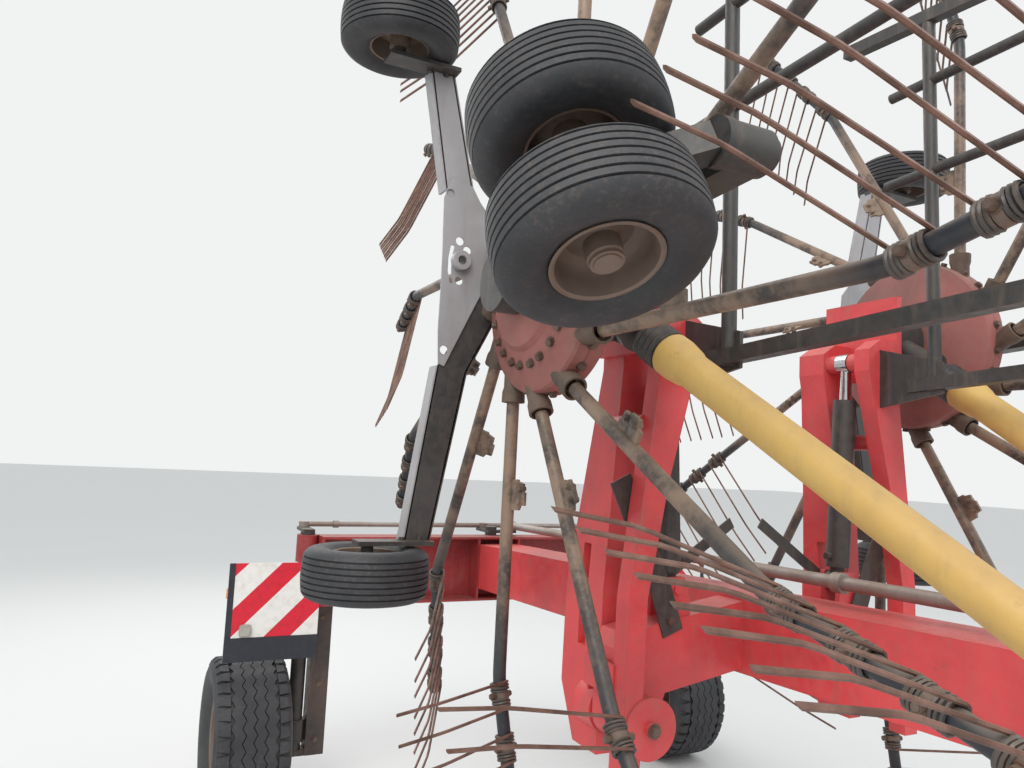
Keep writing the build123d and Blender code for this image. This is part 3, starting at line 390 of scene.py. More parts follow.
def weathered(name, light, dark, rough, metal, wear, dusting, patch, below=None):
    """Paint or metal with mottled colour, dust on top, worn edges and rust spots.

    Below is a height, and the light and dark colour under it.
    """
    looks = bpy.context.scene.rake_looks
    dusting *= looks.dust_amount
    nodes = Nodes(name)
    nodes.shader.inputs["Metallic"].default_value = metal
    large = nodes.noise(patch, 6.0, 0.6)
    fine = nodes.noise(38.0, 5.0, 0.65)
    streaks = nodes.noise(9.0, 4.0, 0.6, stretch=(3.0, 3.0, 0.35))
    mottle = nodes.spread(large, 0.35, 0.68)
    colour = nodes.mix(mottle, tuple(light), tuple(dark))
    if below:
        height, low_light, low_dark = below
        under = nodes.maths("LESS_THAN", nodes.axes()[2], height)
        colour = nodes.mix(under, colour, nodes.mix(mottle, low_light, low_dark))
    grime = nodes.maths("MULTIPLY", nodes.spread(streaks, 0.5, 0.78), 0.45 * wear + 0.1)
    colour = nodes.mix(grime, colour, shaded(looks.dust, 0.55))
    spots = nodes.spread(nodes.noise(14.0, 8.0, 0.7), 0.66 - 0.06 * wear, 0.72)
    worn = nodes.maths("MULTIPLY", nodes.edges(0.006), nodes.spread(fine, 0.42, 0.6))
    worn = nodes.maths("MULTIPLY", worn, wear)
    rusty = nodes.maths("MAXIMUM", nodes.maths("MULTIPLY", spots, wear * 0.8), worn)
    colour = nodes.mix(rusty, colour, tuple(looks.rust))
    settled = nodes.maths("MULTIPLY", nodes.spread(nodes.upward(), 0.1, 0.95),
                          nodes.spread(large, 0.25, 0.75, 0.35, 1.0))
    settled = nodes.maths("MULTIPLY", settled, dusting)
    film = nodes.maths("MULTIPLY", nodes.spread(fine, 0.3, 0.7), dusting * 0.28)
    dusty = nodes.maths("MAXIMUM", settled, film)
    colour = nodes.mix(dusty, colour, tuple(looks.dust))
    shine = nodes.maths("ADD", nodes.spread(fine, 0.2, 0.8, rough - 0.08, rough + 0.12),
                        nodes.maths("MULTIPLY", nodes.maths("MAXIMUM", dusty, rusty), 0.4))
    height = nodes.maths("ADD", nodes.maths("MULTIPLY", fine, 0.4),
                         nodes.maths("MULTIPLY", rusty, 0.6))
    return nodes.finish(colour, shine, height, 0.25)


def rubber(name):
    """Black rubber, grey with age and dusty in patches."""
    looks = bpy.context.scene.rake_looks
    nodes = Nodes(name)
    large = nodes.noise(5.0, 5.0, 0.6)
    fine = nodes.noise(90.0, 4.0, 0.7)
    colour = nodes.mix(nodes.spread(large, 0.3, 0.7), (0.017, 0.019, 0.023), (0.036, 0.038, 0.043))
    dusty = nodes.maths("MULTIPLY", nodes.spread(fine, 0.45, 0.75),
                        nodes.spread(large, 0.35, 0.7, 0.1, 0.26))
    colour = nodes.mix(dusty, colour, shaded(looks.dust, 0.7))
    return nodes.finish(colour, nodes.spread(fine, 0.2, 0.8, 0.5, 0.78), fine, 0.3, 0.0015)


def arm_paint(name):
    """Tube paint, brown with dust near the head and black further out."""
    looks = bpy.context.scene.rake_looks
    nodes = Nodes(name)
    squares = []
    for along, centre in zip(nodes.axes()[1:], ROTOR_CENTRE.yz):
        offset = nodes.maths("ABSOLUTE", nodes.maths("SUBTRACT", along, centre))
        squares.append(nodes.maths("POWER", offset, 2.0))
    reach = nodes.maths("SQRT", nodes.maths("ADD", *squares))
    patches = nodes.noise(7.0, 6.0, 0.65)
    shifted = nodes.maths("ADD", reach, nodes.maths("MULTIPLY", patches, 0.3))
    outer = nodes.spread(shifted, 0.95, 1.45)
    fine = nodes.noise(60.0, 5.0, 0.65)
    mottle = nodes.maths("MULTIPLY", nodes.spread(patches, 0.42, 0.62),
                         nodes.spread(fine, 0.25, 0.6, 0.4, 1.0))
    inner_colour = nodes.mix(mottle, (0.24, 0.165, 0.115), (0.050, 0.040, 0.036))
    outer_colour = nodes.mix(nodes.spread(patches, 0.5, 0.75), (0.017, 0.020, 0.027),
                             (0.05, 0.043, 0.038))
    colour = nodes.mix(outer, inner_colour, outer_colour)
    rust_spots = nodes.spread(nodes.noise(24.0, 8.0, 0.7), 0.6, 0.7)
    colour = nodes.mix(nodes.maths("MULTIPLY", rust_spots, 0.6), colour, tuple(looks.rust))
    dusty = nodes.maths("MULTIPLY", nodes.spread(nodes.upward(), 0.2, 1.0), 0.3)
    colour = nodes.mix(dusty, colour, tuple(looks.dust))
    return nodes.finish(colour, nodes.spread(fine, 0.2, 0.8, 0.35, 0.6), fine, 0.25, 0.0015)


def tine_steel(name):
    """Weathered spring steel, brown with a dull sheen."""
    looks = bpy.context.scene.rake_looks
    nodes = Nodes(name)
    nodes.shader.inputs["Metallic"].default_value = 0.35
    patches = nodes.noise(11.0, 6.0, 0.65)
    fine = nodes.noise(120.0, 4.0, 0.6)
    colour = nodes.mix(nodes.spread(patches, 0.35, 0.68), (0.22, 0.125, 0.095), (0.10, 0.055, 0.04))
    rusty = nodes.maths("MULTIPLY", nodes.spread(fine, 0.5, 0.75), 0.5)
    colour = nodes.mix(rusty, colour, tuple(looks.rust))
    return nodes.finish(colour, nodes.spread(patches, 0.2, 0.8, 0.4, 0.62), fine, 0.2, 0.001)


def board_finish(name):
    """White board with red stripes rising inward, a dark panel below and dark edges."""
    pitch, shift, red_share = 0.292, 0.281, 0.452
    panel_top = 0.9005
    board_middle, clear_half = 1.2315, 0.2095
    nodes = Nodes(name)
    x, _, z = nodes.axes()
    side = nodes.maths("ABSOLUTE", x)
    slant = nodes.maths("ADD", side, z)
    band = nodes.maths("FRACT", nodes.maths("DIVIDE", nodes.maths("ADD", slant, shift), pitch))
    stripe = nodes.maths("LESS_THAN", band, red_share)
    fine = nodes.noise(30.0, 5.0, 0.6)
    white = nodes.mix(nodes.spread(fine, 0.4, 0.8), (0.74, 0.73, 0.70), (0.62, 0.60, 0.55))
    red = nodes.mix(nodes.spread(fine, 0.4, 0.8), (0.62, 0.010, 0.030), (0.48, 0.010, 0.024))
    colour = nodes.mix(stripe, white, red)
    panel = nodes.maths("LESS_THAN", z, panel_top)
    from_middle = nodes.maths("ABSOLUTE", nodes.maths("SUBTRACT", side, board_middle))
    edge = nodes.maths("GREATER_THAN", from_middle, clear_half)
    dark = nodes.mix(nodes.spread(fine, 0.4, 0.8), (0.016, 0.020, 0.030), (0.030, 0.030, 0.034))
    colour = nodes.mix(nodes.maths("MAXIMUM", panel, edge), colour, dark)
    return nodes.finish(colour, nodes.spread(fine, 0.2, 0.8, 0.32, 0.5), fine, 0.08)


def lens_plastic(name, colour=(0.72, 0.72, 0.70)):
    """Lamp plastic with fine ribs."""
    nodes = Nodes(name)
    nodes.shader.inputs["Coat Weight"].default_value = 0.5
    wave = nodes.new("ShaderNodeTexWave", bands_direction="Z")
    wave.inputs["Scale"].default_value = 55.0
    nodes.link(nodes.place, wave.inputs["Vector"])
    fine = nodes.noise(50.0)
    tint = nodes.mix(nodes.spread(fine, 0.3, 0.8), colour, shaded(colour, 0.7))
    return nodes.finish(tint, nodes.spread(fine, 0.2, 0.8, 0.18, 0.38), wave.outputs["Fac"], 0.35)


# Weathered finish of each slot: light colour or its name in Looks, dark colour, roughness,
# metal, wear, dust, and patches in a metre
FINISHES = {
    "red_paint": ("paint", (0.48, 0.040, 0.048), 0.36, 0.0, 0.5, 0.32, 2.2),
    "dark_red_paint": ((0.34, 0.022, 0.028), (0.22, 0.017, 0.020), 0.42, 0.0, 0.5, 0.32, 2.2),
    "faded_red_paint": ("faded_paint", (0.17, 0.055, 0.050), 0.62, 0.0, 0.7, 0.5, 2.2),
    "dark_grey_paint": ((0.040, 0.040, 0.041), (0.024, 0.024, 0.024), 0.45, 0.0, 0.4, 0.20, 2.2),
    # Pale grey of the spreader's plate and upper leg: partly its paint, partly a painted sky
    # reflection
    "spreader_grey": ((0.34, 0.335, 0.35), (0.26, 0.255, 0.26), 0.45, 0.1, 0.3, 0.15, 2.2),
    "black_paint": ((0.022, 0.023, 0.026), (0.040, 0.036, 0.032), 0.42, 0.0, 0.4, 0.28, 2.2),
    "galvanised": ((0.40, 0.38, 0.36), (0.25, 0.20, 0.17), 0.48, 0.6, 0.5, 0.38, 2.2),
    "chromed_rod": ((0.62, 0.62, 0.63), (0.52, 0.52, 0.53), 0.14, 1.0, 0.05, 0.08, 2.2),
    "yellow_guard": ("guard_paint", (0.54, 0.33, 0.09), 0.5, 0.0, 0.25, 0.34, 2.2),
    "rim_paint": ((0.17, 0.125, 0.10), (0.10, 0.072, 0.055), 0.58, 0.1, 0.7, 0.38, 2.2),
    "socket_paint": ((0.12, 0.080, 0.058), (0.060, 0.042, 0.032), 0.6, 0.0, 0.6, 0.4, 9.0),
    "bolt_steel": ((0.16, 0.12, 0.10), (0.09, 0.06, 0.045), 0.5, 0.5, 0.6, 0.3, 9.0),
    "coil_steel": ((0.085, 0.080, 0.078), (0.035, 0.033, 0.032), 0.42, 0.4, 0.4, 0.4, 11.0),
}
# The axle's posts and feet, dark and rusty under this height
AXLE_LEGS = (1.03, (0.065, 0.042, 0.034), (0.026, 0.024, 0.025))
# Slots with a material of their own kind
OWN_KINDS = {
    "tyre_rubber": rubber,
    "arm_steel": arm_paint,
    "tine_steel": tine_steel,
    "board_white": board_finish,
    "lamp_plastic": lens_plastic,
}
_materials = {}


def finish_of(slot):
    """The material of a slot, made once."""
    if slot not in _materials:
        if slot in OWN_KINDS:
            _materials[slot] = OWN_KINDS[slot](slot)
        else:
            light, *rest = FINISHES[slot]
            if isinstance(light, str):
                light = getattr(bpy.context.scene.rake_looks, light)
            below = AXLE_LEGS if slot == "dark_red_paint" else None
            _materials[slot] = weathered(slot, light, *rest, below=below)
    return _materials[slot]


# Places of arms and wheels

def arm_frame(index, sign):
    """Root of one tine arm, and its outward, sideways, leading and outer directions."""
    angle = ARM_PHASE + 2 * math.pi * index / ARM_COUNT
    roll = math.radians(ARM_ROLLS[index])
    outward = Vector((0, math.sin(angle), -math.cos(angle)))
    forward = Vector((0, math.cos(angle), math.sin(angle)))
    across = Vector((sign, 0, 0))
    root = flipped(ROTOR_CENTRE, sign) + forward * ARM_OFFSET
    sideways = across * math.cos(roll) + forward * math.sin(roll)
    leading = forward * math.cos(roll) - across * math.sin(roll)
    outer = outward * math.cos(ARM_BEND) + leading * math.sin(ARM_BEND)
    return root, outward, sideways, leading, outer


def wheel_places(side, sign):
    """Level, placing matrices and body of the carriage wheels on one side."""
    axle = Vector((0, -math.sin(CASTOR_TURN), math.cos(CASTOR_TURN)))
    trail = Vector((0, -math.cos(CASTOR_TURN), -math.sin(CASTOR_TURN)))
    middle = Vector((REAR_WHEEL.x * sign, CASTOR_PIVOT.y, CASTOR_PIVOT.z)) + trail * CASTOR_TRAIL
    places = []
    for level, height in REAR_WHEEL_Z.items():
        place = placed((REAR_WHEEL.x * sign, REAR_WHEEL.y, height), (0, 0, 1), (1, 0, 0))
        places.append((level, [place], side + "_" + level + "_wheel"))
    pair = [placed(middle + axle * (half * CASTOR_SPAN / 2), axle * half, (1, 0, 0))
            for half in (1, -1)]
    places.append(("front", pair, side + "_front_wheels"))
    return places


class RakeOperator:
    """Shared settings of the operators."""

    bl_options = {"REGISTER", "UNDO"}


class RAKE_OT_surfaces(RakeOperator, bpy.types.Operator):
    """Gives every construction node its weathered finish"""

    bl_idname = "rake.surfaces"
    bl_label = "Finish the construction"

    def execute(self, context):
        for part in frame["record"]["subparts"]:
            node = frame["nodes"][part["node"]]
            material = finish_of(part["material_slot"])
            if not node.material_slots:
                node.data.materials.append(material)
            for slot in node.material_slots:
                slot.material = material
        return {"FINISHED"}


class RAKE_OT_transport_tyres(RakeOperator, bpy.types.Operator):
    """Transport tyres with zigzag tread blocks"""

    bl_idname = "rake.transport_tyres"
    bl_label = "Transport tyres"

    RADIUS = 0.385
    HALF_WIDTH = 0.180
    PITCHES = 36
    # Ribs between the zigzag grooves: inner and outer edge
    RIBS = ((-0.1005, -0.0525), (-0.0475, -0.0025), (0.0025, 0.0475), (0.0525, 0.1005))
    ZIGZAG = (0.0, 0.009, 0.0, -0.009)
    # How far the ribs' feet reach into the casing
    SINK = 0.001
    # Shoulder block: width, radius and share of the pitch at each corner
    BLOCK = ((0.1120, 0.370, 0.86), (0.1120, 0.3845, 0.86), (0.150, 0.3835, 0.66),
             (0.168, 0.368, 0.56), (0.168, 0.352, 0.56))
    # How far the blocks of each shoulder are turned, in radians
    SHOULDER_TURN = 0.04

    def carcass(self, height):
        """Closed profile of the casing, from bead over the crown to the other bead."""
        base = self.RADIUS - height
        crown = [
            (0.2046, 0.120), (0.226, 0.136), (0.245, 0.156), (0.275, 0.172), (0.305, 0.179),
            (0.330, self.HALF_WIDTH), (base - 0.030, 0.176), (base - 0.010, 0.166),
            (base - 0.002, 0.150), (base, 0.10), (base, 0.04),
        ]
        return [(r, -w) for r, w in crown] + [(r, w) for r, w in reversed(crown)]

    def rib(self, shape, place, inner, outer, base):
        """One rib right round the tyre, its edges zigzagging once in each pitch."""
        count = self.PITCHES * len(self.ZIGZAG)
        corners = ((base, inner), (self.RADIUS, inner), (self.RADIUS, outer), (base, outer))
        size = len(corners)
        points, faces = [], []
        for step, (x, y) in enumerate(circle(1.0, count)):
            shift = self.ZIGZAG[step % len(self.ZIGZAG)]
            for radius, width in corners:
                points.append(place @ Vector((radius * x, radius * y, width + shift)))
            here, there = step * size, (step + 1) % count * size
            for k in range(size):
                nxt = (k + 1) % size
                faces.append((here + k, here + nxt, there + nxt, there + k))
        shape.add(points, faces)

    def block(self, shape, place, angle, half):
        """One shoulder block, narrower where it turns down the side."""
        size = len(self.BLOCK)
        points = []
        for end in (-1, 1):
            for width, radius, share in self.BLOCK:
                turn = angle + end * share * math.pi / self.PITCHES
                x, y = radius * math.cos(turn), radius * math.sin(turn)
                points.append(place @ Vector((x, y, width * half)))
        faces = [tuple(range(size)), tuple(range(2 * size - 1, size - 1, -1))]
        faces += [(k, k + size, (k + 1) % size + size, (k + 1) % size) for k in range(size)]
        if half < 0:
            faces = [tuple(reversed(face)) for face in faces]
        shape.add(points, faces)

    def execute(self, context):
        height = context.scene.rake_looks.tread_height
        for side, sign in SIDES:
            place = placed(flipped(WHEEL_CENTRE, sign), (1, 0, 0), (0, 0, 1))
            shape = Shape()
            shape.lathe(self.carcass(height), place, 96)
            for inner, outer in self.RIBS:
                self.rib(shape, place, inner, outer, self.RADIUS - height - self.SINK)
            for half in (-1, 1):
                for angle in turns(self.PITCHES, self.SHOULDER_TURN * half):
                    self.block(shape, place, angle, half)
            shape.object(side + "_transport_tyre", finish_of("tyre_rubber"), side + "_wheel", 0.5,
                         "tyre_rubber", [side + "_tyre"])
        return {"FINISHED"}


class RAKE_OT_carriage_tyres(RakeOperator, bpy.types.Operator):
    """Carriage tyres with ribs round the tread"""

    bl_idname = "rake.carriage_tyres"
    bl_label = "Carriage tyres"

    RADIUS = 0.2010
    # How fast the tread falls away from its middle, in metres a square metre
    CROWNING = 1.35
    GROOVES = (-0.054, -0.036, -0.018, 0.0, 0.018, 0.036, 0.054)
    GROOVE_HALF = 0.0015
    # Section of a groove: half widths from its middle, and whether the corner is deep
    GROOVE = ((-1.9, 0), (-1, 1), (1, 1), (1.9, 0))
    WALL = ((0.1016, 0.062), (0.112, 0.068), (0.122, 0.076), (0.140, 0.0805), (0.160, 0.081),
            (0.174, 0.078), (0.186, 0.071), (0.1935, 0.0625))

    def profile(self, depth):
        """Closed profile of one tyre, with its grooves cut into the tread."""
        tread = []
        for middle in self.GROOVES:
            for at, deep in self.GROOVE:
                height = middle + at * self.GROOVE_HALF
                crown = self.RADIUS - self.CROWNING * height * height
                tread.append((crown - deep * depth, height))
        return [(r, -w) for r, w in self.WALL] + tread + [(r, w) for r, w in reversed(self.WALL)]

    def execute(self, context):
        profile = self.profile(context.scene.rake_looks.groove_depth)
        for side, sign in SIDES:
            for level, places, body in wheel_places(side, sign):
                shape = Shape()
                for place in places:
                    shape.lathe(profile, place, 88)
                node = side + ("_front_tyres" if level == "front" else "_" + level + "_tyre")
                shape.object(node + "_ribbed", finish_of("tyre_rubber"), body, 0.5,
                             "tyre_rubber", [node])
        return {"FINISHED"}


class RAKE_OT_rims(RakeOperator, bpy.types.Operator):
    """Pressed rims with hubs, caps and nuts"""

    bl_idname = "rake.rims"
    bl_label = "Rims"

    # Closed profiles as radius and distance from the wheel's middle
    SMALL = (
        (0.1012, -0.064), (0.1012, 0.064), (0.1045, 0.068), (0.1000, 0.0695), (0.0945, 0.066),
        (0.0930, 0.055), (0.0915, 0.030), (0.0880, 0.012), (0.0800, 0.004), (0.0640, -0.001),
        (0.0480, 0.006), (0.0390, 0.016), (0.0345, 0.021), (0.0345, 0.056), (0.0310, 0.060),
        (0.0206, 0.060), (0.0206, -0.060), (0.0345, -0.060), (0.0345, -0.012), (0.0640, -0.007),
        (0.0880, 0.002), (0.0930, -0.030), (0.0945, -0.062),
    )
    LARGE = (
        (0.2046, -0.128), (0.2046, 0.128), (0.2110, 0.136), (0.2030, 0.139), (0.1900, 0.132),
        (0.1840, 0.105), (0.1760, 0.070), (0.1640, 0.048), (0.1400, 0.036), (0.1100, 0.030),
        (0.0800, 0.030), (0.0740, 0.058), (0.0640, 0.066), (0.0306, 0.066), (0.0306, -0.088),
        (0.0620, -0.088), (0.0620, 0.004), (0.0800, 0.018), (0.1500, 0.022), (0.1720, 0.040),
        (0.1840, -0.120),
    )
    # Hub cap of a small rim: radius, and near and far face from the wheel's middle
    CAPS = ((0.0315, 0.0585, 0.0665), (0.0245, 0.0665, 0.0690))
    NUTS = 6
    NUT_CIRCLE = 0.100
    NUT_SEAT = 0.030
    NUT_SIZE = (0.014, 0.016)

    def execute(self, context):
        for side, sign in SIDES:
            shape = Shape()
            place = placed(flipped(WHEEL_CENTRE, sign), (sign, 0, 0), (0, 0, 1))
            shape.lathe(self.LARGE, place, 72)
            for x, y in circle(self.NUT_CIRCLE, self.NUTS):
                centre = place @ Vector((x, y, self.NUT_SEAT))
                shape.bolt(placed(centre, (sign, 0, 0)), *self.NUT_SIZE)
            shape.object(side + "_transport_rim", finish_of("rim_paint"), side + "_wheel", 0.6,
                         "rim_paint", [side + "_rim"])
            for level, places, body in wheel_places(side, sign):
                shape = Shape()
                free = -1 if level == "lower" else 1
                for place in places:
                    shape.lathe(self.SMALL, place, 64)
                    for radius, near, far in self.CAPS:
                        shape.prism(circle(radius, 28), place, *sorted((near * free, far * free)))
                node = side + ("_front_rims" if level == "front" else "_" + level + "_rim")
                shape.object(node + "_pressed", finish_of("rim_paint"), body, 0.6,
                             "rim_paint", [node])
        return {"FINISHED"}


class RAKE_OT_tine_arms(RakeOperator, bpy.types.Operator):
    """Bent tine arms as round tubes with their pinned lug plates"""

    bl_idname = "rake.tine_arms"
    bl_label = "Tine arms"

    TUBE_SIDES = 20
    BEND_STEPS = 6
    BEND_REACH = 0.05
    # End collar: its reach before and past the tip, and its swell
    COLLAR = (0.012, 0.005, 1.02)
    # Lug plate: along the arm and off its side
    LUG = ((-0.046, 0.017), (0.052, 0.017), (0.050, 0.052), (0.036, 0.058), (0.034, 0.078),
           (-0.006, 0.078), (-0.010, 0.070), (-0.034, 0.070), (-0.040, 0.046), (-0.046, 0.044))
    LUG_HALF = 0.005
    LUG_BOLTS = (-0.018, 0.022)
    LUG_BOLT_OFF = 0.058
    LUG_BOLT_SIZE = (0.009, 0.010)

    def path(self, root, outward, outer):
        """Middle line of an arm, with a short rounded bend."""
        bend = root + outward * ARM_BEND_AT
        points = [root + outward * ARM_START]
        start = bend - outward * self.BEND_REACH
        end = bend + outer * self.BEND_REACH
        for step in range(self.BEND_STEPS + 1):
            t = step / self.BEND_STEPS
            points.append(start.lerp(bend, t).lerp(bend.lerp(end, t), t))
        points.append(bend + outer * ARM_OUTER)
        return points

    def execute(self, context):
        before, past, swell = self.COLLAR
        for side, sign in SIDES:
            shape = Shape()
            for index in range(ARM_COUNT):
                root, outward, sideways, leading, outer = arm_frame(index, sign)
                points = self.path(root, outward, outer)
                shape.tube(points, ARM_RADIUS, self.TUBE_SIDES)
                tip = points[-1]
                collar = [tip - outer * before, tip + outer * past]
                shape.tube(collar, ARM_RADIUS * swell, self.TUBE_SIDES)
                base = root + outward * LUG_AT
                place = placed(base, sideways * sign, outward)
                shape.prism(self.LUG, place, -self.LUG_HALF, self.LUG_HALF)
                for along in self.LUG_BOLTS:
                    centre = base + outward * along + leading * self.LUG_BOLT_OFF
                    for way in (-sideways, sideways):
                        shape.bolt(placed(centre + way * self.LUG_HALF, way), *self.LUG_BOLT_SIZE)
            shape.object(side + "_bent_tubes", finish_of("arm_steel"), side + "_rotor", 0.6,
                         "arm_steel", [side + "_tine_arms"])
        return {"FINISHED"}


class RAKE_OT_spring_tines(RakeOperator, bpy.types.Operator):
    """Double spring tines, each wound round its arm and bolted in the middle"""

    bl_idname = "rake.spring_tines"
    bl_label = "Spring tines"

    SEGMENTS_PER_TURN = 14
    WIRE_SIDES = 6
    # Ends of the coil along the arm, from the clamp's middle
    COIL_START = 0.0105
    COIL_END = 0.0385
    # Where the wire leaves its coil: share of the coil's radius, and how far behind the middle
    LEAVE_SHARE = 0.9
    LEAVE_BACK = 0.012
    # Most that a knee stands off to the side, and how much more the tip does
    SWAY = 0.006
    TIP_SWAY = 1.6
    # Places of the run's points between coil and knee, and between knee and tip
    TO_KNEE = (0.35, 0.7, 0.93)
    TO_TIP = (0.06, 0.5, 1.0)
    # Slope of the cut tip, and how far it is cut back
    TIP_CUT = 1.3
    CUT_BACK = 0.005
    # Clamp in the middle of a tine, with a bolt on each side
    CLAMP_RADIUS = 0.0275
    CLAMP_HALF = 0.009
    CLAMP_BOLT_AT = 0.024
    CLAMP_BOLT_SIZE = (0.0095, 0.017)

    def wire(self, place, sign, half, looks, sway):
        """Paths of one wire: its coil, and its straight run with knee and tip."""
        rise = TINE_KNEE[1] - looks.coil_radius * self.LEAVE_SHARE
        leave = math.atan2(rise, TINE_KNEE[0] + self.LEAVE_BACK) + math.pi / 2
        coil = []
        steps = looks.coil_turns * self.SEGMENTS_PER_TURN
        for step in range(steps + 1):
            t = step / steps
            angle = leave + 2 * math.pi * looks.coil_turns * (1 - t)
            along = half * (self.COIL_START + (self.COIL_END - self.COIL_START) * t)
            x, y = looks.coil_radius * math.cos(angle), looks.coil_radius * math.sin(angle)
            coil.append((x, y, along))
        last = half * self.COIL_END
        knee = Vector((*TINE_KNEE, last + sway))
        tip = Vector((*TINE_TIP, last + sway * self.TIP_SWAY))
        start = Vector(coil[-1])
        run = [start] + [start.lerp(knee, t) for t in self.TO_KNEE]
        run += [knee.lerp(tip, t) for t in self.TO_TIP]
        return [[place @ Vector((x * sign, y, z)) for x, y, z in path] for path in (coil, run)]

    def cut_tip(self, shape, upward):
        """Slants the end ring of the wire added last."""
        ring = [Vector(point) for point in shape.points[-self.WIRE_SIDES:]]
        before = [Vector(point) for point in shape.points[-2 * self.WIRE_SIDES:-self.WIRE_SIDES]]
        middle = sum(ring, Vector()) / self.WIRE_SIDES
        way = (middle - sum(before, Vector()) / self.WIRE_SIDES).normalized()
        shape.points[-self.WIRE_SIDES:] = [
            tuple(point + way * ((point - middle).dot(upward) * self.TIP_CUT - self.CUT_BACK))
            for point in ring]

    def execute(self, context):
        looks = context.scene.rake_looks
        draw = random.Random(7)
        for side, sign in SIDES:
            wires, coils, clamps = Shape(), Shape(), Shape()
            for index in range(ARM_COUNT):
                root, outward, sideways, _, outer = arm_frame(index, sign)
                bend = root + outward * ARM_BEND_AT
                across = sideways * sign
                upward = (-outer).cross(across)
                for at in SPRING_AT:
                    middle = bend + outer * at
                    place = Matrix((across, upward, -outer)).transposed().to_4x4()
                    place.translation = middle
                    for half in (-1, 1):
                        sway = draw.uniform(-self.SWAY, self.SWAY)
                        coil, run = self.wire(place, sign, half, looks, sway)
                        coils.tube(coil, looks.wire_radius, self.WIRE_SIDES)
                        wires.tube(run, looks.wire_radius, self.WIRE_SIDES)
                        self.cut_tip(wires, upward)
                    ring = circle(self.CLAMP_RADIUS, 16)
                    clamps.prism(ring, place, -self.CLAMP_HALF, self.CLAMP_HALF)
                    for way in (across, -across):
                        seat = placed(middle + way * self.CLAMP_BOLT_AT, way)
                        clamps.bolt(seat, *self.CLAMP_BOLT_SIZE)
            wires.object(side + "_spring_wires", finish_of("tine_steel"), side + "_rotor", 0.9,
                         "tine_steel", [side + "_tines"])
            coils.object(side + "_spring_coils", finish_of("coil_steel"), side + "_rotor", 0.9,
                         "tine_steel")
            clamps.object(side + "_tine_clamps", finish_of("bolt_steel"), side + "_rotor", 0.5,
                          "arm_steel")
        return {"FINISHED"}


class RAKE_OT_rotor_heads(RakeOperator, bpy.types.Operator):
    """Cam housings with a hollow cup for each arm"""

    bl_idname = "rake.rotor_heads"
    bl_label = "Rotor heads"

    # Closed profiles as radius and height, from the machine's middle and from the arm's root
    HOUSING = ((0.0456, 0.738), (0.150, 0.738), (0.190, 0.758), (0.305, 0.790), (0.324, 0.797),
               (0.330, 0.808), (0.330, 0.842), (0.3275, 0.844), (0.3275, 0.846), (0.330, 0.848),
               (0.330, 0.884), (0.324, 0.893), (0.310, 0.898), (0.205, 0.928), (0.190, 0.944),
               (0.120, 0.950), (0.0456, 0.950))
    CUP = ((0.0325, 0.200), (0.0325, 0.300), (0.0372, 0.316), (0.0380, 0.347), (0.0365, 0.349),
           (0.0310, 0.349), (0.0270, 0.318), (0.0190, 0.316), (0.0190, 0.200))

    def execute(self, context):
        for side, sign in SIDES:
            shape, cups = Shape(), Shape()
            shape.lathe(self.HOUSING, placed((0, *ROTOR_CENTRE.yz), (sign, 0, 0)), 96)
            for index in range(ARM_COUNT):
                root, outward, *_ = arm_frame(index, sign)
                cups.lathe(self.CUP, placed(root, outward), 28)
            shape.object(side + "_cam_housing", finish_of("faded_red_paint"), side + "_rotor", 0.5,
                         "faded_red_paint", [side + "_rotor_head"])
            cups.object(side + "_arm_cups", finish_of("socket_paint"), side + "_rotor", 0.5,
                        "faded_red_paint")
        return {"FINISHED"}


class RAKE_OT_head_details(RakeOperator, bpy.types.Operator):
    """Bolts round the rim and the front of the rotor heads, two at each arm"""

    bl_idname = "rake.head_details"
    bl_label = "Rotor head details"

    # A bolt's way out is found this far along its arm, and this far to either side
    REACH = 0.300
    SHIFT = 0.058
    # Rim and front bolts: place from the head's near face, distance from the axis, and size
    RIM = (0.108, HEAD_RADIUS - 0.001, (0.012, 0.014))
    FRONT = (0.178, 0.245, (0.012, 0.015))
    # Lean of the front's bolts away from the axis
    LEAN = 0.5

    def execute(self, context):
        for side, sign in SIDES:
            centre = flipped(ROTOR_CENTRE, sign)
            shape = Shape()
            for index in range(ARM_COUNT):
                root, outward, *_ = arm_frame(index, sign)
                leading = Vector((0, -outward.z, outward.y))
                for shift in (self.SHIFT, -self.SHIFT):
                    radial = root + outward * self.REACH + leading * shift - centre
                    radial.x = 0
                    radial.normalize()
                    front = (radial * self.LEAN + Vector((sign, 0, 0))).normalized()
                    for (depth, radius, size), way in ((self.RIM, radial), (self.FRONT, front)):
                        at = Vector(((HEAD_FACE + depth) * sign, *centre.yz)) + radial * radius
                        shape.bolt(placed(at, way), *size)
            shape.object(side + "_head_bolts", finish_of("bolt_steel"), side + "_rotor", 0.5,
                         "faded_red_paint")
        return {"FINISHED"}


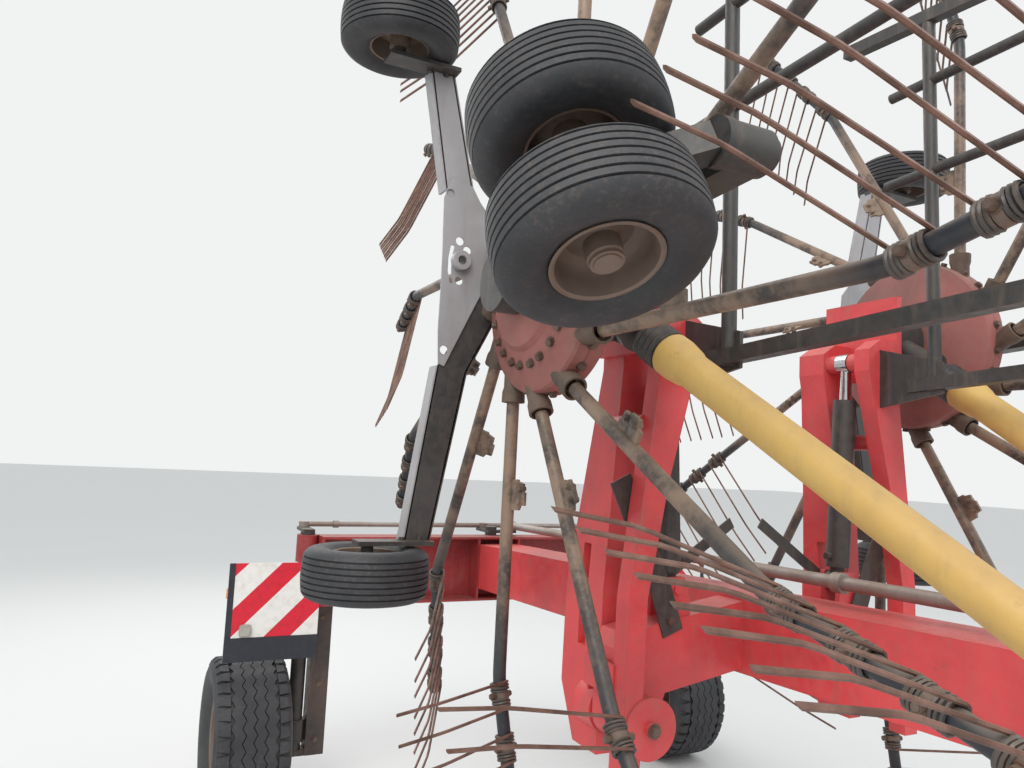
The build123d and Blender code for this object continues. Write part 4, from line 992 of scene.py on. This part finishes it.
class RAKE_OT_carriages(RakeOperator, bpy.types.Operator):
    """Rotor axle, long bar and wheel spreader with its holed plate"""

    bl_idname = "rake.carriages"
    bl_label = "Carriages"

    # Front face of the spreader, and thickness of its plate, legs and ribs
    FRONT = -0.555
    PLATE_THICKNESS = 0.006
    LEG_THICKNESS = 0.008
    RIB_THICKNESS = 0.010
    RIB_DEPTH = 0.064
    # Corners in X and Z that outlines and ribs share
    TOP_OUT, TOP_IN = (1.140, 3.1645), (1.060, 3.1645)
    LOW_OUT, LOW_IN = (1.140, 1.5455), (1.055, 1.5455)
    SHOULDER, HEEL, KNEE, HIP = (1.062, 2.748), (0.967, 2.776), (0.953, 2.120), (0.838, 2.350)
    FORK = (1.058, 2.135)
    # Outlines, anticlockwise
    PLATE = ((1.046, 2.798), HEEL, (0.935, 2.725), (0.860, 2.640), (0.848, 2.525), (0.891, 2.448),
             (0.951, 2.321), (1.037, 2.134), (1.058, 2.143), (1.065, 2.256), (1.064, 2.359),
             (1.064, 2.513), (1.067, 2.600), (1.070, 2.717), SHOULDER)
    LOWER_LEG = (FORK, (1.020, 2.200), (0.860, 2.540), (0.800, 2.460), HIP, KNEE, LOW_IN, LOW_OUT)
    UPPER_LEG = (TOP_OUT, TOP_IN, HEEL, (0.950, 2.700), (1.050, 2.700), SHOULDER)
    # Ribs in the plate's grey, which is partly a painted sky reflection, and in the dark paint,
    # which also paints the lower leg's shade
    PALE_RIBS = ((LOW_OUT, FORK), (TOP_OUT, SHOULDER), (TOP_IN, HEEL))
    DARK_RIBS = ((LOW_IN, KNEE), (KNEE, HIP))
    HOLES = ((1.048, 2.737), (1.004, 2.574), (0.975, 2.545), (1.000, 2.436), (1.040, 2.190))
    HOLE_RADIUS = 0.015
    SLOT = ((1.029, 2.556), (1.036, 2.510), (1.036, 2.465), (1.027, 2.424))
    SLOT_HALF = 0.007
    BOSS_AT = (1.000, 2.503)
    BOSS = ((0.016, 0.0), (0.016, 0.026), (0.032, 0.026), (0.034, 0.024), (0.034, 0.0))
    # Foot of each leg: its ends in X, width and thickness, and its bolts
    FOOT = (1.050, 1.302, 0.084, 0.014)
    FOOT_BOLTS = (1.09, 1.15)
    FOOT_BOLT_SIZE = (0.010, 0.009)
    PIN_LENGTH = 0.163
    PIN_RADIUS = 0.020
    # Tubes on the rotor's axis: ends in X, radius and sides
    AXLE = (GEARBOX_FACE, 0.972, 0.045, 40)
    HUB = (0.956, 1.040, 0.095, 48)
    # Bars from the hub to the spreader and to the castor: X at both ends, width and depth
    SPREADER_BAR = (0.985, 0.868, 0.050, 0.100)
    CASTOR_BAR = (1.001, 1.001, 0.078, 0.090)
    # Where the first ends, in Y from the spreader's face and in Z from the hub
    SPREADER_BAR_END = (-0.004, 0.04)
    SLEEVE_X = 0.954
    SLEEVE = ((0.0255, 0.0), (0.046, 0.0), (0.046, 0.092), (0.0255, 0.092))

    def flat(self, y):
        """Placing matrix with X and Z of the machine as its X and Y, looking back."""
        return placed((0, y, 0), (0, -1, 0), (1, 0, 0))

    def mirrored(self, outline, sign):
        """An outline of the right side, or its mirror image, still anticlockwise."""
        return [(x * sign, z) for x, z in outline][::sign]

    def cut_outs(self, sign):
        """Round holes and the bowed slot."""
        loops = [circle(self.HOLE_RADIUS, 20, (x * sign, z)) for x, z in self.HOLES]
        slot = [(x + self.SLOT_HALF, z) for x, z in self.SLOT]
        slot += [(x - self.SLOT_HALF, z) for x, z in reversed(self.SLOT)]
        return loops + [[(x * sign, z) for x, z in slot]]

    def spreader(self, pale, dark, sign):
        """Holed plate with its boss, and the two ribbed legs."""
        back = self.FRONT - self.PLATE_THICKNESS
        pale.holed_plate(self.mirrored(self.PLATE, sign), self.cut_outs(sign),
                         self.flat(self.FRONT - self.PLATE_THICKNESS / 2), self.PLATE_THICKNESS)
        middle = back - self.RIB_DEPTH / 2
        for shape, leg, ribs in ((pale, self.UPPER_LEG, self.PALE_RIBS),
                                 (dark, self.LOWER_LEG, self.DARK_RIBS)):
            shape.prism(self.mirrored(leg, sign), self.flat(back), 0.0, self.LEG_THICKNESS)
            for ends in ribs:
                start, end = (Vector((x * sign, middle, z)) for x, z in ends)
                shape.bar(start, end, (0, 1, 0), self.RIB_DEPTH, self.RIB_THICKNESS)
        x, z = self.BOSS_AT
        pale.lathe(self.BOSS, placed((x * sign, self.FRONT, z), (0, 1, 0)), 28)

    def foot(self, dark, sign, height, way):
        """Foot of one leg with the pin of its wheel, way being 1 for up."""
        near, far, width, thickness = self.FOOT
        start, end, pin = (Vector((x * sign, REAR_WHEEL.y, height))
                           for x in (near, far, REAR_WHEEL.x))
        dark.bar(start, end, (0, 1, 0), width, thickness)
        dark.tube([pin, pin + Vector((0, 0, way * self.PIN_LENGTH))], self.PIN_RADIUS, 24)
        for x in self.FOOT_BOLTS:
            seat = (x * sign, REAR_WHEEL.y, height - way * thickness / 2)
            dark.bolt(placed(seat, (0, 0, -way)), *self.FOOT_BOLT_SIZE)

    def execute(self, context):
        y, z = ROTOR_CENTRE.yz
        behind, above = self.SPREADER_BAR_END
        bars = ((self.SPREADER_BAR, (self.FRONT + behind, z + above)),
                (self.CASTOR_BAR, CASTOR_PIVOT.yz))
        for side, sign in SIDES:
            pale, dark = Shape(), Shape()
            self.spreader(pale, dark, sign)
            self.foot(dark, sign, self.TOP_OUT[1], 1)
            self.foot(dark, sign, self.LOW_OUT[1], -1)
            for near, far, radius, sides in (self.AXLE, self.HUB):
                dark.tube([(near * sign, y, z), (far * sign, y, z)], radius, sides)
            for (near, far, width, depth), end in bars:
                dark.bar((near * sign, y, z), (far * sign, *end), (1, 0, 0), width, depth)
            sleeve = placed((self.SLEEVE_X * sign, *CASTOR_PIVOT.yz), (sign, 0, 0))
            dark.lathe(self.SLEEVE, sleeve, 40)
            # Plate and upper leg are pale grey partly as a painted sky reflection; the lower leg's
            # dark paint is partly painted shade
            pale.object(side + "_spreader_plate", finish_of("spreader_grey"), side + "_arm", 0.5,
                        "dark_grey_paint")
            dark.object(side + "_carriage_bars", finish_of("dark_grey_paint"), side + "_arm", 0.5,
                        "dark_grey_paint", [side + "_carriage"])
        return {"FINISHED"}


class RAKE_OT_drive_shafts(RakeOperator, bpy.types.Operator):
    """Guarded drive shafts with dark bellows at the rotor gearbox"""

    bl_idname = "rake.drive_shafts"
    bl_label = "Drive shafts"

    UPPER = Vector((0.645, 0.1025, 2.182))
    LOWER = Vector((0.300, 2.120, 0.855))
    # Closed profiles as radius and distance from the upper joint
    GUARD = ((0.001, 0.060), (0.058, 0.060), (0.0625, 0.068), (0.0625, 0.105), (0.056, 0.150),
             (0.0505, 0.165), (0.050, 1.3416), (0.043, 1.3426), (0.043, 2.279), (0.056, 2.290),
             (0.066, 2.310), (0.070, 2.340), (0.070, 2.389), (0.001, 2.389))
    BELLOWS = ((0.042, -0.030), (0.060, -0.030), (0.062, -0.024), (0.056, -0.015), (0.064, -0.004),
               (0.056, 0.007), (0.064, 0.018), (0.056, 0.029), (0.064, 0.040), (0.056, 0.050),
               (0.062, 0.060), (0.042, 0.060))

    def execute(self, context):
        for side, sign in SIDES:
            upper = flipped(self.UPPER, sign)
            place = placed(upper, flipped(self.LOWER, sign) - upper)
            tubes, bellows = Shape(), Shape()
            tubes.lathe(self.GUARD, place, 48)
            bellows.lathe(self.BELLOWS, place, 48)
            body = side + "_drive_shaft"
            tubes.object(side + "_guard_tubes", finish_of("yellow_guard"), body, 0.5,
                         "yellow_guard", [side + "_drive_shaft"])
            bellows.object(side + "_guard_bellows", finish_of("black_paint"), body, 0.5,
                           "black_paint")
        return {"FINISHED"}


class RAKE_OT_fasteners(RakeOperator, bpy.types.Operator):
    """Bolts on the frame, axle, arms and gearboxes"""

    bl_idname = "rake.fasteners"
    bl_label = "Fasteners"

    # Rows of bolts on the chassis: X, Y and Z of each, the way they look in Y, and their radius
    ROWS = (
        ((0.16, 0.45, 0.75, 0.97), AXLE_Y - 0.010, (1.08, 1.335), -1, 0.012),
        ((0.97,), AXLE_Y + 0.045, (0.34, 0.62, 0.96), 1, 0.011),
        ((0.125,), 2.165, (0.62, 0.74, 1.02, 1.30, 1.46), 1, 0.013),
        ((0.42,), -0.0895, (1.356,), 1, 0.013),
    )
    # Height of a bolt's head as a share of its radius
    HEAD = 0.8
    # Bolt of the fold pin's cap: how far it stands before the arm, and its size
    PIN_BOLT_OUT = 0.020
    PIN_BOLT_SIZE = (0.017, 0.012)
    # Ring of bolts on the gearbox: their number, first angle, circle and size
    RING = (8, 0.3, 0.128, (0.010, 0.010))

    def execute(self, context):
        shape = Shape()
        for across, y, heights, way, radius in self.ROWS:
            for x in across:
                for z in heights:
                    for _, sign in SIDES:
                        seat = placed((x * sign, y, z), (0, way, 0))
                        shape.bolt(seat, radius, radius * self.HEAD)
        shape.object("frame_bolts", finish_of("bolt_steel"), "chassis", 0.5, "black_paint")
        count, start, reach, size = self.RING
        for side, sign in SIDES:
            arm = Shape()
            cap = flipped(FOLD_PIN, sign)
            cap.y = ARM_FRONT_Y + self.PIN_BOLT_OUT
            arm.bolt(placed(cap, (0, 1, 0)), *self.PIN_BOLT_SIZE)
            for angle in turns(count, start):
                at = Vector((GEARBOX_FACE * sign, *ROTOR_CENTRE.yz))
                at += Vector((0, math.cos(angle), math.sin(angle))) * reach
                arm.bolt(placed(at, (sign, 0, 0)), *size)
            arm.object(side + "_arm_bolts", finish_of("bolt_steel"), side + "_arm", 0.5,
                       "dark_grey_paint")
        return {"FINISHED"}


class RAKE_OT_board_lamps(RakeOperator, bpy.types.Operator):
    """Marker lamps and side reflectors on the boards"""

    bl_idname = "rake.board_lamps"
    bl_label = "Board lamps"

    CLEAR = (0.40, 0.38, 0.34)
    AMBER = (0.80, 0.26, 0.02)
    # Gap between a lamp and what it sits on
    GAP = 0.0003
    # Marker lamp: its middle, half width and half height, and how round its corners are
    LAMP_AT = (1.377, AXLE_Y + 0.161, 0.935)
    LAMP_HALF = (0.0295, 0.031)
    SQUARENESS = 0.55
    # Steps of the lens: share of the width, near and far face
    STEPS = ((1.0, GAP, 0.014), (0.9, 0.014, 0.022), (0.7, 0.022, 0.0265))
    # Side reflector: X, Y and height over the lowest lamp, half width, half height and far face
    REFLECTOR_AT = (1.470, AXLE_Y + 0.156, 0.205)
    REFLECTOR_HALF = (0.0125, 0.0245)
    REFLECTOR_OUT = 0.0058

    def lamp_outline(self, share):
        """A square with round corners, from a share of the lamp's size."""
        wide, high = self.LAMP_HALF
        outline = []
        for c, s in circle(1.0, 32):
            swell = share / max(abs(c), abs(s)) ** self.SQUARENESS
            outline.append((wide * c * swell, high * s * swell))
        return outline

    def execute(self, context):
        clear = lens_plastic("clear_lens", self.CLEAR)
        amber = lens_plastic("amber_lens", self.AMBER)
        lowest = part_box("board_lamps")[0][2]
        wide, high = self.REFLECTOR_HALF
        oval = [(wide * c, high * s) for c, s in circle(1.0, 24)]
        for side, sign in SIDES:
            lamp, reflector = Shape(), Shape()
            place = placed(flipped(self.LAMP_AT, sign), (0, 1, 0), (1, 0, 0))
            for share, near, far in self.STEPS:
                lamp.prism(self.lamp_outline(share), place, near, far)
            lamp.object(side + "_marker_lamp", clear, "chassis", 0.7,
                        "lamp_plastic", ["board_lamps"])
            edge = flipped(self.REFLECTOR_AT, sign)
            edge.z += lowest
            place = placed(edge, (sign, 0, 0), (0, 1, 0))
            reflector.prism(oval, place, self.GAP, self.REFLECTOR_OUT)
            reflector.object(side + "_side_reflector", amber, "chassis", 0.7, "lamp_plastic")
        return {"FINISHED"}


class RAKE_OT_stage(RakeOperator, bpy.types.Operator):
    """Pale floor, soft light and the camera"""

    bl_idname = "rake.stage"
    bl_label = "Stage"

    CAMERA_AT = Vector((1.983, 1.914, 1.828))
    CAMERA_RIGHT = Vector((-0.8953, 0.4427, 0.0486))
    CAMERA_UP = Vector((0.0864, 0.0658, 0.9941))
    CAMERA_WAY = Vector((-0.4369, -0.8943, 0.0972))
    SENSOR_WIDTH = 36.0
    FLOOR_REACH = 60.0
    PALE = (0.66, 0.66, 0.65)
    SKY = (0.95, 0.98, 1.0, 1.0)
    SKY_STRENGTH = 0.95
    BACKDROP = (0.88, 0.89, 0.89, 1.0)
    # Large soft lamps: name, place, size, power and colour
    LAMPS = (
        ("key", (4.5, 4.5, 7.5), 6.0, 560.0, (1.0, 0.98, 0.95)),
        ("fill", (-5.5, 3.0, 5.5), 6.0, 130.0, (0.92, 0.96, 1.0)),
        ("back", (1.0, -7.0, 6.5), 6.0, 200.0, (1.0, 1.0, 1.0)),
    )
    LAMPS_LOOK_AT = Vector((0, 0, 1.6))

    def camera(self, looks):
        """The photograph's viewpoint."""
        data = bpy.data.cameras.new("view")
        data.lens = looks.lens
        data.sensor_width = self.SENSOR_WIDTH
        camera = bpy.data.objects.new("view", data)
        matrix = Matrix((self.CAMERA_RIGHT, self.CAMERA_UP, -self.CAMERA_WAY)).transposed().to_4x4()
        matrix.translation = self.CAMERA_AT
        camera.matrix_world = matrix
        bpy.context.collection.objects.link(camera)
        bpy.context.scene.camera = camera

    def floor(self):
        """A wide plain floor."""
        mesh = bpy.data.meshes.new("floor")
        signs = ((-1, -1), (1, -1), (1, 1), (-1, 1))
        corners = [(self.FLOOR_REACH * x, self.FLOOR_REACH * y, 0) for x, y in signs]
        mesh.from_pydata(corners, [], [(0, 1, 2, 3)])
        nodes = Nodes("floor")
        soft = nodes.noise(0.6)
        tone = nodes.mix(soft, self.PALE, shaded(self.PALE, 0.97))
        mesh.materials.append(nodes.finish(tone, nodes.spread(soft, 0.0, 1.0, 0.85, 0.95)))
        floor = bpy.data.objects.new("floor", mesh)
        bpy.context.collection.objects.link(floor)

    def sky(self):
        """World light from above, with a pale backdrop for the camera and for reflections."""
        world = bpy.data.worlds.new("soft_sky")
        world.use_nodes = True
        bpy.context.scene.world = world
        tree = world.node_tree
        output = tree.nodes["World Output"]
        light = tree.nodes["Background"]
        light.inputs["Color"].default_value = self.SKY
        light.inputs["Strength"].default_value = self.SKY_STRENGTH
        backdrop = tree.nodes.new("ShaderNodeBackground")
        backdrop.inputs["Color"].default_value = self.BACKDROP
        backdrop.inputs["Strength"].default_value = 1.0
        rays = tree.nodes.new("ShaderNodeLightPath")
        seen = rays.outputs["Is Camera Ray"]
        for name in ("Is Glossy Ray", "Is Transmission Ray"):
            either = tree.nodes.new("ShaderNodeMath")
            either.operation = "MAXIMUM"
            tree.links.new(seen, either.inputs[0])
            tree.links.new(rays.outputs[name], either.inputs[1])
            seen = either.outputs["Value"]
        mix = tree.nodes.new("ShaderNodeMixShader")
        tree.links.new(seen, mix.inputs["Fac"])
        tree.links.new(light.outputs["Background"], mix.inputs[1])
        tree.links.new(backdrop.outputs["Background"], mix.inputs[2])
        tree.links.new(mix.outputs["Shader"], output.inputs["Surface"])

    def lamps(self):
        """Large soft lamps that look at the machine's middle."""
        for name, place, size, power, colour in self.LAMPS:
            data = bpy.data.lights.new(name, "AREA")
            data.size = size
            data.energy = power
            data.color = colour
            lamp = bpy.data.objects.new(name, data)
            lamp.matrix_world = placed(place, Vector(place) - self.LAMPS_LOOK_AT)
            bpy.context.collection.objects.link(lamp)

    def execute(self, context):
        self.camera(context.scene.rake_looks)
        self.floor()
        self.sky()
        self.lamps()
        context.scene.view_settings.view_transform = "Standard"
        return {"FINISHED"}


OPERATORS = (
    RAKE_OT_stage,
    RAKE_OT_surfaces,
    RAKE_OT_transport_tyres,
    RAKE_OT_carriage_tyres,
    RAKE_OT_rims,
    RAKE_OT_tine_arms,
    RAKE_OT_spring_tines,
    RAKE_OT_rotor_heads,
    RAKE_OT_head_details,
    RAKE_OT_carriages,
    RAKE_OT_drive_shafts,
    RAKE_OT_fasteners,
    RAKE_OT_board_lamps,
)


class RAKE_PT_panel(bpy.types.Panel):
    """Lists the steps and the sizes"""

    bl_idname = "RAKE_PT_panel"
    bl_label = "Rake"
    bl_space_type = "VIEW_3D"
    bl_region_type = "UI"
    bl_category = "Rake"

    def draw(self, context):
        for name in Looks.__annotations__:
            self.layout.prop(context.scene.rake_looks, name)
        for operator in OPERATORS:
            self.layout.operator(operator.bl_idname)


def register():
    """Adds the classes and the scene's settings."""
    for cls in (Looks, *OPERATORS, RAKE_PT_panel):
        bpy.utils.register_class(cls)
    bpy.types.Scene.rake_looks = PointerProperty(type=Looks)


def unregister():
    """Takes the classes and the settings away again."""
    del bpy.types.Scene.rake_looks
    for cls in (RAKE_PT_panel, *reversed(OPERATORS), Looks):
        bpy.utils.unregister_class(cls)


def main():
    """Runs every step in order."""
    register()
    for operator in OPERATORS:
        getattr(bpy.ops.rake, operator.bl_idname.partition(".")[2])()


if __name__ == "__main__":
    main()
